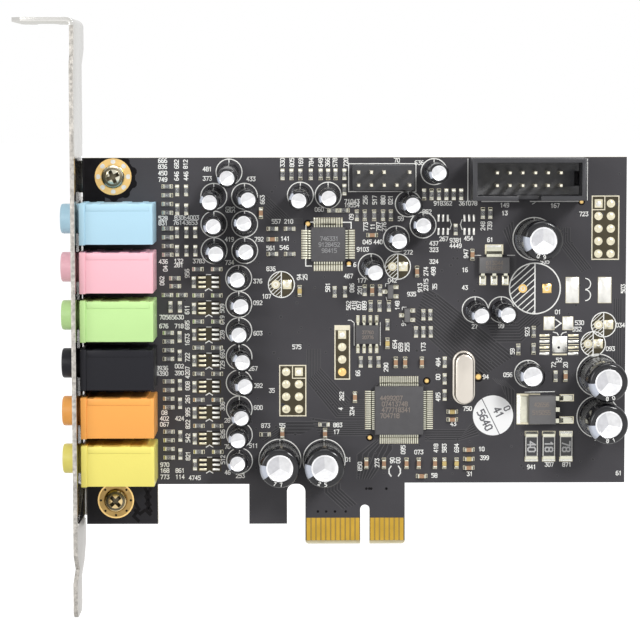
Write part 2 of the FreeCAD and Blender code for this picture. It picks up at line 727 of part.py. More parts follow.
def stadium(name, inset, near_depth, thickness):
    """A plate with round ends that stands up the board, centred on the crystal."""
    radius = "(crystal_width / 2 - %s)" % inset
    reach = "(crystal_length / 2 - crystal_width / 2)"
    middle = box(name + "Middle",
                 ("crystal_place_across - " + radius, near_depth, "crystal_place_up - " + reach),
                 ("2 * " + radius, thickness, "2 * " + reach))
    ends = []
    for label, sign in (("Upper", " + "), ("Lower", " - ")):
        centre = ("crystal_place_across", near_depth, "crystal_place_up" + sign + reach)
        ends.append(cylinder(name + label, centre, (0, 1, 0), radius, thickness))
    return joined(name, [middle] + ends)


named(stadium("CrystalFlange", "0", component_face + " - crystal_flange", "crystal_flange"), "crystal_base")
named(stadium("CrystalCan", "crystal_step", component_face + " - crystal_height",
              "crystal_height - crystal_flange"), "crystal_can")


def chip(label, middle, level, length, width, height):
    """A moulded body with bevelled top edges, a little off the board."""
    body = box(label + "_block", (middle + " - " + length + " / 2", component_face + " - " + height,
                                  level + " - " + width + " / 2"),
               (length, height + " - chip_standoff", width))
    top = size(component_face + " - " + height)
    return named(blend_edges("Chamfer", label + "_edges", body, "chip_bevel",
                             lambda middle, edge: near(middle.y, top)), label)


def wedge(reach, height, width):
    """A plain lead of a fine-pitch chip, from half the body's height down to the toe."""
    return prism([(0, height / 2), (0, 0), (reach, 0)], width)


def bent_lead(reach, height, thickness, width, instep):
    """A lead that slopes down from half the body's height to a flat foot, which starts at the instep."""
    shoulder = height / 2
    foot = [(instep, 0), (reach, 0), (reach, thickness)]
    return prism([(0, shoulder), (0, shoulder - thickness)] + foot, width)


def prism(points, width):
    """A side view, as pairs of distance out and height up, given a width across the lead."""
    corners = [Vector(out, -rise, -width / 2) for out, rise in points]
    face = Part.Face(Part.makePolygon(corners + corners[:1]))
    return face.extrude(Vector(0, 0, width))


def lead_row(single, turn, start, step, count):
    """Copies of a lead, turned about the board's normal and set out in a row."""
    row = []
    for index in range(count):
        copy = single.copy()
        copy.Placement = FreeCAD.Placement(start + step * index, FreeCAD.Rotation(Vector(0, 1, 0), turn))
        row.append(copy)
    return row


def four_sided_leads(side, height, pitch, width, middle, level, count):
    single = wedge(size("flat_lead_reach"), height, width)
    half = side / 2
    first = (count - 1) / 2 * pitch
    face = size(component_face)
    return (lead_row(single, 0, Vector(middle + half, face, level - first), Vector(0, 0, pitch), count)
            + lead_row(single, 180, Vector(middle - half, face, level - first), Vector(0, 0, pitch), count)
            + lead_row(single, -90, Vector(middle - first, face, level + half), Vector(pitch, 0, 0), count)
            + lead_row(single, 90, Vector(middle - first, face, level - half), Vector(pitch, 0, 0), count))


chip("controller_chip", "controller_place_across", "controller_place_up", "controller_side",
     "controller_side", "controller_height")
group("controller_leads", four_sided_leads(
    *number_of("controller_side", "controller_height", "controller_pitch", "controller_lead_width",
               "controller_place_across", "controller_place_up"), 20))
chip("codec_chip", "codec_place_across", "codec_place_up", "codec_side", "codec_side", "codec_height")
group("codec_leads", four_sided_leads(
    *number_of("codec_side", "codec_height", "codec_pitch", "codec_lead_width", "codec_place_across",
               "codec_place_up"), 12))

chip("memory_chip", "memory_place_across", "memory_place_up", "memory_length", "memory_width",
     "memory_height")
memory_lead = bent_lead(*number_of("wide_lead_reach", "memory_height", "wide_lead_thickness",
                                   "wide_lead_width", "0.6 * wide_lead_reach"))
memory_first = size("memory_place_across - 1.5 * memory_pitch")
memory_step = Vector(size("memory_pitch"), 0, 0)
upper_row = Vector(memory_first, size(component_face), size("memory_place_up + memory_width / 2"))
lower_row = Vector(memory_first, size(component_face), size("memory_place_up - memory_width / 2"))
group("memory_leads", lead_row(memory_lead, -90, upper_row, memory_step, 4)
      + lead_row(memory_lead, 90, lower_row, memory_step, 4))

# Small regulator: three legs below, a broad tab above
chip("regulator_chip", "regulator_place_across", "regulator_place_up", "regulator_length", "regulator_width",
     "regulator_height")
regulator_leg = bent_lead(*number_of("regulator_leg_reach", "regulator_height", "wide_lead_thickness",
                                     "regulator_leg_width", "0.6 * regulator_leg_reach"))
regulator_tab = bent_lead(*number_of("regulator_leg_reach", "regulator_height", "wide_lead_thickness",
                                     "regulator_tab_width", "0.6 * regulator_leg_reach"))
leg_start = Vector(size("regulator_place_across - regulator_pitch"), size(component_face),
                   size("regulator_place_up - regulator_width / 2"))
tab_start = Vector(size("regulator_place_across"), size(component_face),
                   size("regulator_place_up + regulator_width / 2"))
group("regulator_leads", lead_row(regulator_leg, 90, leg_start, Vector(size("regulator_pitch"), 0, 0), 3)
      + lead_row(regulator_tab, -90, tab_start, Vector(), 1))

# Power regulator: its tab lies on the board to the left, and two legs leave to the right
chip("power_regulator_chip", "power_place_across", "power_place_up", "power_length", "power_width",
     "power_height")
power_leg = bent_lead(*number_of("power_leg_reach", "power_height", "power_tab_thickness",
                                 "power_leg_width", "0.4 * power_leg_reach"))
power_leg_start = Vector(size("power_place_across + power_length / 2"), size(component_face),
                         size("power_place_up - power_leg_pitch / 2"))
power_tab = Part.makeBox(*number_of("power_tab_reach", "power_tab_thickness", "power_tab_width"),
                         Vector(*number_of("power_place_across - power_length / 2 - power_tab_reach",
                                           component_face + " - power_tab_thickness",
                                           "power_place_up - power_tab_width / 2")))
power_leg_step = Vector(0, 0, size("power_leg_pitch"))
group("power_regulator_leads", lead_row(power_leg, 0, power_leg_start, power_leg_step, 2) + [power_tab])

# Two small transistors, with one leg to the left and two to the right
transistor_places = [(5.2, 51.7), (8.6, 46.9)]
transistor_blocks = []
transistor_legs = []
leg = bent_lead(*number_of("transistor_leg_reach", "transistor_height", "flat_lead_thickness",
                           "transistor_leg_width", "0.4 * transistor_leg_reach"))
for place_across, place_up in transistor_places:
    middle, level = number_of(across(place_across), up(place_up))
    half = size("transistor_width / 2")
    face = size(component_face)
    corner = Vector(middle - half, face - size("transistor_height"), level - size("transistor_length / 2"))
    transistor_blocks.append(Part.makeBox(*number_of("transistor_width", "transistor_height - chip_standoff",
                                                     "transistor_length"), corner))
    pair_start = Vector(middle + half, face, level - size("transistor_pitch / 2"))
    transistor_legs += lead_row(leg, 0, pair_start, Vector(0, 0, size("transistor_pitch")), 2)
    transistor_legs += lead_row(leg, 180, Vector(middle - half, face, level), Vector(), 1)
group("transistor_chips", transistor_blocks)
group("transistor_leads", transistor_legs)


def leaning_can(radius, height, place_across, place_up, lean_across, lean_up):
    """A capped can whose top is moved by the lean, and whose lowest edge is on the board."""
    tilt = math.hypot(lean_across, lean_up) / height
    foot = Vector(size(across(place_across)), size(component_face) - radius * tilt, size(up(place_up)))
    away = Vector(lean_across / height, -math.sqrt(1 - tilt * tilt), lean_up / height)
    return Part.makeCylinder(radius, height, foot, away)


# Small capacitors: place across and up, then how far the top leans across and up
channels = [53.7 - index * 5.33 for index in range(8)]
channel_leans = [(-0.1, 0.1), (0.6, 0.1), (0.2, -0.3), (0.9, -0.5), (1.4, 0.0), (0.6, -1.1), (-0.1, -0.3),
                 (-0.2, 0.3)]
small_places = [(-25.55, level + 0.8) + lean for level, lean in zip(channels, channel_leans)]
small_places += [
    (-27.4, 76.0, -0.2, -1.1),
    (-30.5, 71.1, -0.6, -1.0), (-24.3, 71.1, 0.9, -0.5),
    (-30.5, 65.5, 0.1, -0.2), (-24.3, 65.5, 0.0, 0.4),
    (-30.5, 60.1, 0.6, -0.3), (-24.3, 60.1, 0.4, 0.1),
    (-13.0, 71.3, -0.3, -0.9), (-7.4, 71.3, 0.1, -0.4),
    (14.0, 76.0, 0.7, -0.1), (8.8, 69.5, 0.7, 0.0), (11.8, 65.2, -0.2, 0.2), (6.4, 62.4, 0.4, -0.1),
    (1.3, 56.8, 0.7, -0.8), (22.4, 48.0, 0.9, -0.7), (27.7, 48.0, 0.9, -0.5),
]
medium_places = [(33.2, 34.9, 0.4, 0.2)]
large_places = [(34.3, 62.4, 0.9, 0.2), (47.4, 34.6, 0.9, -0.3), (47.5, 26.1, 0.9, -0.2),
                (-17.3, 17.3, 0.1, -0.1), (-8.3, 17.3, 0.1, -0.1)]
for kind, places in (("small", small_places), ("medium", medium_places), ("large", large_places)):
    radius, height = number_of(kind + "_can_radius", kind + "_can_height")
    group(kind + "_capacitors", [leaning_can(radius, height, *spot) for spot in places])


def chip_parts(label, thickness, upright, level=()):
    """Small two-ended parts: the upright ones run up the board, the level ones along it."""
    length, width = number_of("chip_part_length", "chip_part_width")
    deep = size(thickness)
    parts = []
    for places, wide, tall in ((upright, width, length), (level, length, width)):
        for place_across, place_up in places:
            corner = Vector(size(across(place_across)) - wide / 2, size(component_face) - deep,
                            size(up(place_up)) - tall / 2)
            parts.append(Part.makeBox(wide, deep, tall, corner))
    group(label, parts)


# Chip resistors and ceramic capacitors, by the part of the board that they serve
filter_rows = [start - step * 1.77 for start in (73.1, 64.6, 43.4, 33.5, 23.2) for step in range(4)]
jack_columns = [(-37.9, 72.3), (-37.9, 68.5), (-38.0, 63.8), (-38.0, 60.1), (-36.1, 72.3), (-36.1, 68.5),
                (-36.1, 63.8), (-36.1, 60.1), (-34.3, 63.8), (-34.3, 60.1), (-39.4, 48.7), (-37.5, 48.7),
                (-37.6, 42.6), (-37.6, 38.8), (-37.6, 32.8), (-37.6, 29.0), (-37.6, 22.3), (-37.6, 18.6)]
chip_parts("jack_filter_parts", "resistor_thickness", jack_columns,
           [(-39.9, level) for level in filter_rows]
           + [(-38.5, 54.5), (-38.4, 52.9), (-40.0, 51.1), (-37.1, 51.1)])
chip_parts("channel_parts", "resistor_thickness", [(-34.65, level) for level in channels],
           [(-33.8, level + 2.66) for level in channels] + [(-30.0, level + 2.66) for level in channels])
chip_parts("upper_resistors", "resistor_thickness",
           [(column, 75.5) for column in (-16.6, -14.8, -13.0, -10.9, -8.9, -7.4, -5.9, -4.1)]
           + [(column, 67.2) for column in (-1.6, 0.0, 1.9, 3.7, 5.3)] + [(-4.1, 72.4)]
           + [(12.0 + 1.5 * column, 71.4) for column in range(6)]
           + [(18.4, 64.3), (23.9, 67.6), (25.4, 67.6)],
           [(-6.4, 68.2), (-4.2, 68.2), (-18.7, 64.5), (-15.2, 64.5), (-18.7, 59.4), (-15.2, 59.4)])
chip_parts("middle_resistors", "resistor_thickness",
           [(-6.1, 51.7), (-4.0, 51.7), (0.0, 52.0), (3.1, 52.0), (1.2, 48.8), (3.0, 48.8), (4.9, 48.8),
            (11.9, 47.0), (13.3, 47.0), (10.4, 43.5), (11.9, 43.5), (13.4, 43.5), (4.6, 45.0),
            (-0.8, 37.4), (1.1, 37.4), (2.8, 37.4), (16.25, 37.3), (16.25, 33.9), (16.25, 30.6)])
chip_parts("right_resistors", "resistor_thickness",
           [(34.3, 43.5), (34.3, 40.0), (31.2, 39.9), (38.8, 34.4)])
chip_parts("ceramic_capacitors", "ceramic_thickness",
           [(-21.0, 67.7), (-13.2, 51.9), (1.5, 52.0), (10.6, 55.8), (21.8, 59.2), (4.6, 41.2), (-2.0, 30.2),
            (40.8, 34.4), (6.3, 37.3), (8.2, 37.3), (11.6, 37.3), (0.3, 16.6), (3.9, 16.6), (8.5, 16.6),
            (11.0, 16.6), (14.3, 16.6), (16.2, 16.6), (18.7, 16.6)],
           [(1.5, 63.2), (-18.7, 62.4), (17.8, 27.2), (17.8, 25.6), (21.2, 19.4), (21.2, 17.5), (21.2, 15.7),
            (11.6, 14.0)])
power_resistors = []
power_resistor_sizes = number_of("power_resistor_width", "power_resistor_height", "power_resistor_length")
for column in range(3):
    middle = across(33.96 + 3.52 * column)
    corner = Vector(*number_of(middle + " - power_resistor_width / 2",
                               component_face + " - power_resistor_height",
                               "power_resistor_up - power_resistor_length / 2"))
    power_resistors.append(Part.makeBox(*power_resistor_sizes, corner))
group("power_resistors", power_resistors)

named(cylinder("Sticker", ("sticker_across", component_face, "sticker_up"), (0, -1, 0), "sticker_radius",
               "sticker_thickness"), "round_sticker")

node_labels = ["circuit_board", "edge_contacts", "bracket", "upper_bracket_screw", "lower_bracket_screw",
               "jack_springs", "box_header_shroud", "box_header_pins", "pin_header_base",
               "pin_header_pins", "crystal_base", "crystal_can", "controller_chip", "controller_leads",
               "codec_chip", "codec_leads", "memory_chip", "memory_leads", "regulator_chip",
               "regulator_leads", "power_regulator_chip", "power_regulator_leads", "transistor_chips",
               "transistor_leads", "small_capacitors", "medium_capacitors", "large_capacitors",
               "jack_filter_parts", "channel_parts", "upper_resistors", "middle_resistors",
               "right_resistors", "ceramic_capacitors", "power_resistors", "round_sticker"]
node_labels += [colour + "_jack" for colour in jack_names]

doc.recompute()
for thing in doc.Objects:
    if "Invalid" in thing.State or "Error" in thing.State:
        raise RuntimeError("%s failed: %s" % (thing.Name, thing.State))
sub_parts = []
for label in node_labels:
    thing = doc.getObjectsByLabel(label)[0]
    if thing.Shape.isNull() or not thing.Shape.isValid():
        raise RuntimeError(label + " has no valid shape")
    sub_parts.append(thing)

os.makedirs("parts", exist_ok=True)
for thing in sub_parts:
    thing.Shape.exportStep("parts/%s.step" % thing.Label)
print(len(sub_parts), "sub-parts written")
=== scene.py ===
import math
import random

import bmesh
import bpy
from mathutils import Matrix, Vector


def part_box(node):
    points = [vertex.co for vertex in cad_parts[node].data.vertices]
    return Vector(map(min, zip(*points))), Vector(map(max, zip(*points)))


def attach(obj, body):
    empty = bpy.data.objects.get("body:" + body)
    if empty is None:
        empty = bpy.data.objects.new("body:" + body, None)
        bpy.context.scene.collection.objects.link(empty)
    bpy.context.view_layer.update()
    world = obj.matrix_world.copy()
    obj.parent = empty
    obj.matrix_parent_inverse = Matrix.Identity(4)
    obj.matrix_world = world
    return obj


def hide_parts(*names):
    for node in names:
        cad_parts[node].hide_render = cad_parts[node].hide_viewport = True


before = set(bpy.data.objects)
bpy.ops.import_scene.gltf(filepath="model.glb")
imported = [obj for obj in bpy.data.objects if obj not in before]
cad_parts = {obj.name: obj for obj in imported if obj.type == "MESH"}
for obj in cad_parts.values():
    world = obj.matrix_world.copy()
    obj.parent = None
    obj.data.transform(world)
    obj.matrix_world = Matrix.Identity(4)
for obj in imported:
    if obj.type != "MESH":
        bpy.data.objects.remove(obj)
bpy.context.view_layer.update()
print("frame loaded with", len(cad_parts), "nodes")

# Everything on the board is drawn in millimetres: x along it, y up it, z off its component side.
fullTurn = 2 * math.pi
quarterTurn = math.pi / 2
boardLow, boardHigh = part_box("circuit_board")
boardThick = (boardHigh.y - boardLow.y) * 1000
ontoBoard = Matrix.Translation((0, boardLow.y, 0)) @ Matrix.Rotation(quarterTurn, 4, "X")
ontoBoard @= Matrix.Scale(0.001, 4)
pinPitch = 2.54
roundSides = 48         # of everything made on the lathe
dice = random.Random(7)


# Shapes

def spot(x, y, z=0.0, turn=0.0):
    return Matrix.Translation((x, y, z)) @ Matrix.Rotation(turn, 4, "Z")


def paint(corners, finish):
    for face in {face for corner in corners for face in corner.link_faces}:
        face.material_index = finish


def roundEdges(bm, edges, width, segments=1, clamp=False):
    bmesh.ops.bevel(bm, geom=list(edges), offset=width, offset_type="OFFSET", affect="EDGES",
                    segments=segments, profile=0.5, material=-1, clamp_overlap=clamp)


def sliceAt(bm, point, normal, drop=False):
    bmesh.ops.bisect_plane(bm, geom=bm.verts[:] + bm.edges[:] + bm.faces[:], plane_co=point,
                           plane_no=normal, clear_outer=drop)


def closeHoles(bm):
    bmesh.ops.holes_fill(bm, edges=[edge for edge in bm.edges if edge.is_boundary], sides=0)


def raised(bm, faces, rise):        # the faces pulled straight up; gives their new corners and faces
    made = bmesh.ops.extrude_face_region(bm, geom=faces)["geom"]
    corners = [part for part in made if isinstance(part, bmesh.types.BMVert)]
    bmesh.ops.translate(bm, vec=(0, 0, rise), verts=corners)
    return corners, [part for part in made if isinstance(part, bmesh.types.BMFace)]


def cube(bm, place, finish):
    corners = bmesh.ops.create_cube(bm, size=1, matrix=place)["verts"]
    paint(corners, finish)
    return corners


def block(bm, centre, size, bevel=0.0, segments=1, finish=0):
    corners = cube(bm, Matrix.Translation(centre) @ Matrix.Diagonal((*size, 1)), finish)
    if bevel:
        edges = dict.fromkeys(edge for corner in corners for edge in corner.link_edges)
        roundEdges(bm, edges, bevel, segments)
    return corners


def disc(bm, x, y, low, high, radius, sides=20, finish=0, top=None):
    made = bmesh.ops.create_cone(bm, cap_ends=True, segments=sides, radius1=radius, radius2=top or radius,
                                 depth=high - low, matrix=spot(x, y, (low + high) / 2))
    paint(made["verts"], finish)


def spun(bm, points, x, y, sides, closed=False):        # (radius, height) points turned round x, y
    corners = [bm.verts.new((x + radius, y, height)) for radius, height in points]
    following = corners[1:] + corners[:1] if closed else corners[1:]
    edges = [bm.edges.new(pair) for pair in zip(corners, following)]
    before = set(bm.faces)
    bmesh.ops.spin(bm, geom=corners + edges, cent=(x, y, 0), axis=(0, 0, 1), angle=fullTurn, steps=sides,
                   use_merge=True)
    return set(bm.faces) - before


def ring(bm, x, y, outer, inner, low, high, finish=0, sides=28):
    section = ((inner, low), (outer, low), (outer, high), (inner, high))
    for face in spun(bm, section, x, y, sides, closed=True):
        face.material_index = finish


def turned(profile):        # a lathe shape round z
    bm = bmesh.new()
    spun(bm, profile, 0, 0, roundSides)
    bmesh.ops.remove_doubles(bm, verts=bm.verts, dist=1e-4)
    bmesh.ops.recalc_face_normals(bm, faces=bm.faces)
    return bm


def line(bm, points, width, low, high, finish=0):       # each stroke lies a hair over the last
    for start, end in zip(points, points[1:]):
        across, up = end[0] - start[0], end[1] - start[1]
        middle = ((start[0] + end[0]) / 2, (start[1] + end[1]) / 2, (low + high) / 2)
        size = (math.hypot(across, up) + width, width, high - low, 1)
        cube(bm, spot(*middle, math.atan2(up, across)) @ Matrix.Diagonal(size), finish)
        high += strokeStep


def asTemplate(bm):
    mesh = bpy.data.meshes.new("template")
    bm.to_mesh(mesh)
    bm.free()
    return mesh


def stamp(bm, template, place, finish=None):
    copy = template.copy()
    copy.transform(place)
    if finish is not None:
        copy.polygons.foreach_set("material_index", [finish] * len(copy.polygons))
    bm.from_mesh(copy)
    bpy.data.meshes.remove(copy)


def carve(bm, cutter):      # bm less the cutter, both closed
    shapes = []
    for part in (bm, cutter):
        shapes.append(bpy.data.objects.new("carving", asTemplate(part)))
        bpy.context.scene.collection.objects.link(shapes[-1])
    cut = shapes[0].modifiers.new("cut", "BOOLEAN")
    cut.operation = "DIFFERENCE"
    cut.object = shapes[1]
    cut.solver = "EXACT"
    evaluated = shapes[0].evaluated_get(bpy.context.evaluated_depsgraph_get())
    result = bmesh.new()
    result.from_mesh(evaluated.to_mesh())
    evaluated.to_mesh_clear()
    for shape in shapes:
        mesh = shape.data
        bpy.data.objects.remove(shape)
        bpy.data.meshes.remove(mesh)
    return result


def finishPiece(name, bm, finishes, nodes=(), angle=35):
    bmesh.ops.recalc_face_normals(bm, faces=bm.faces)
    bmesh.ops.transform(bm, matrix=ontoBoard, verts=bm.verts)
    mesh = bpy.data.meshes.new(name)
    bm.to_mesh(mesh)
    bm.free()
    for finish in finishes:
        mesh.materials.append(surface[finish])
    mesh.shade_smooth()
    mesh.set_sharp_from_angle(angle=math.radians(angle))
    piece = bpy.data.objects.new(name, mesh)
    bpy.context.scene.collection.objects.link(piece)
    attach(piece, "root")
    if nodes:
        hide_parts(*nodes)
    print("made", name, "with", len(mesh.polygons), "faces")


def softened(node, width, segments=1):      # the node's own shape, its sharp edges rounded
    bm = bmesh.new()
    bm.from_mesh(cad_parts[node].data)
    bmesh.ops.transform(bm, matrix=ontoBoard.inverted(), verts=bm.verts)
    bmesh.ops.remove_doubles(bm, verts=bm.verts, dist=1e-3)
    bmesh.ops.dissolve_limit(bm, angle_limit=math.radians(0.5), verts=bm.verts, edges=bm.edges)
    sharp = [edge for edge in bm.edges if len(edge.link_faces) == 2 and edge.calc_face_angle() > 0.6]
    roundEdges(bm, sharp, width, segments, clamp=True)
    return bm


# Numbers are drawn as a board's print is, in strokes on a grid 2 wide and 4 high.
strokeStep = 0.0012     # in height, from one stroke to the next
digitLines = {
    "0": [(0, 0.6), (0, 3.4), (0.6, 4), (1.4, 4), (2, 3.4), (2, 0.6), (1.4, 0), (0.6, 0), (0, 0.6)],
    "1": [(0.4, 3.2), (1.1, 4), (1.1, 0)],
    "2": [(0, 3.4), (0.6, 4), (1.4, 4), (2, 3.4), (2, 2.6), (0, 0), (2, 0)],
    "3": [(0, 4), (2, 4), (1, 2.4), (2, 1.7), (2, 0.6), (1.4, 0), (0.6, 0), (0, 0.6)],
    "4": [(1.5, 0), (1.5, 4), (0, 1.3), (2.1, 1.3)],
    "5": [(2, 4), (0, 4), (0, 2.4), (1.4, 2.4), (2, 1.8), (2, 0.6), (1.4, 0), (0, 0)],
    "6": [(1.8, 4), (0.8, 4), (0, 3), (0, 0.6), (0.6, 0), (1.4, 0), (2, 0.6), (2, 1.6), (1.4, 2.2), (0, 2.2)],
    "7": [(0, 4), (2, 4), (0.8, 0)],
    "8": [(0.5, 2.1), (0, 2.7), (0, 3.5), (0.5, 4), (1.5, 4), (2, 3.5), (2, 2.7), (1.5, 2.1), (0.5, 2.1),
          (0, 1.6), (0, 0.5), (0.5, 0), (1.5, 0), (2, 0.5), (2, 1.6), (1.5, 2.1)],
    "9": [(0.2, 0), (1.2, 0), (2, 1), (2, 3.4), (1.4, 4), (0.6, 4), (0, 3.4), (0, 2.4), (0.6, 1.8), (2, 1.8)],
}
digitLook = {"wide": 0.55, "step": 0.78, "heft": 0.19, "thick": 0.03}


def makeDigits():
    made = {}
    for digit, points in digitLines.items():
        bm = bmesh.new()
        grid = [((x / 2 - 0.5) * digitLook["wide"], y / 4 - 0.5) for x, y in points]
        line(bm, grid, digitLook["heft"], 0, digitLook["thick"])
        made[digit] = asTemplate(bm)
    return made


digits = makeDigits()


def number(bm, places, size, place, finish=0):      # any number of that many places
    text = "".join(dice.choice("0123456789") for digit in range(places))
    for index, digit in enumerate(text):
        shift = (index - (places - 1) / 2) * digitLook["step"] * size
        scaled = Matrix.Translation((shift, 0, 0)) @ Matrix.Diagonal((size, size, 1, 1))
        stamp(bm, digits[digit], place @ scaled, finish)


# Finishes

def feed(tree, socket, value):      # a plain value, or the output that it comes from
    if isinstance(value, bpy.types.NodeSocket):
        tree.links.new(value, socket)
    else:
        socket.default_value = value


def addNode(tree, kind, inputs=None, output=0, **settings):
    node = tree.nodes.new("ShaderNode" + kind)
    for name, value in settings.items():
        setattr(node, name, value)
    for name, value in (inputs or {}).items():
        feed(tree, node.inputs[name], value)
    return node.outputs[output]


def mixed(tree, share, first, second):
    return addNode(tree, "Mix", {0: share, 6: first, 7: second}, 2, data_type="RGBA")


plainLook = {"metal": 0.0, "coat": 0.0, "shine": 0.5, "blotch": 180, "spread": 0.12, "depth": 0.15}
grain = {"scale": 2600, "distance": 0.00005}


def makeFinish(name, look):     # colour and gloss vary in blotches, and a fine grain stands on top
    look = {**plainLook, **look}
    material = bpy.data.materials.new(name)
    material.use_nodes = True
    tree = material.node_tree
    place = addNode(tree, "TexCoord", output="Object")
    blotch = addNode(tree, "TexNoise", {"Vector": place, "Scale": look["blotch"], "Detail": 4}, "Fac")
    rise = addNode(tree, "TexNoise", {"Vector": place, "Scale": grain["scale"], "Detail": 3}, "Fac")
    dark, pale = ([min(1, part * share) for part in look["colour"]] + [1]
                  for share in (1 - look["spread"], 1 + look["spread"]))
    gloss = {"Value": blotch, "To Min": look["rough"] * 0.82, "To Max": min(1, look["rough"] * 1.18)}
    bump = {"Height": rise, "Strength": look["depth"], "Distance": grain["distance"]}
    sockets = {
        "Base Color": mixed(tree, blotch, dark, pale), "Metallic": look["metal"],
        "Roughness": addNode(tree, "MapRange", gloss, "Result"), "Specular IOR Level": look["shine"],
        "Coat Weight": look["coat"], "Coat Roughness": 0.15, "Normal": addNode(tree, "Bump", bump)}
    for socket, value in sockets.items():
        feed(tree, tree.nodes["Principled BSDF"].inputs[socket], value)
    return material


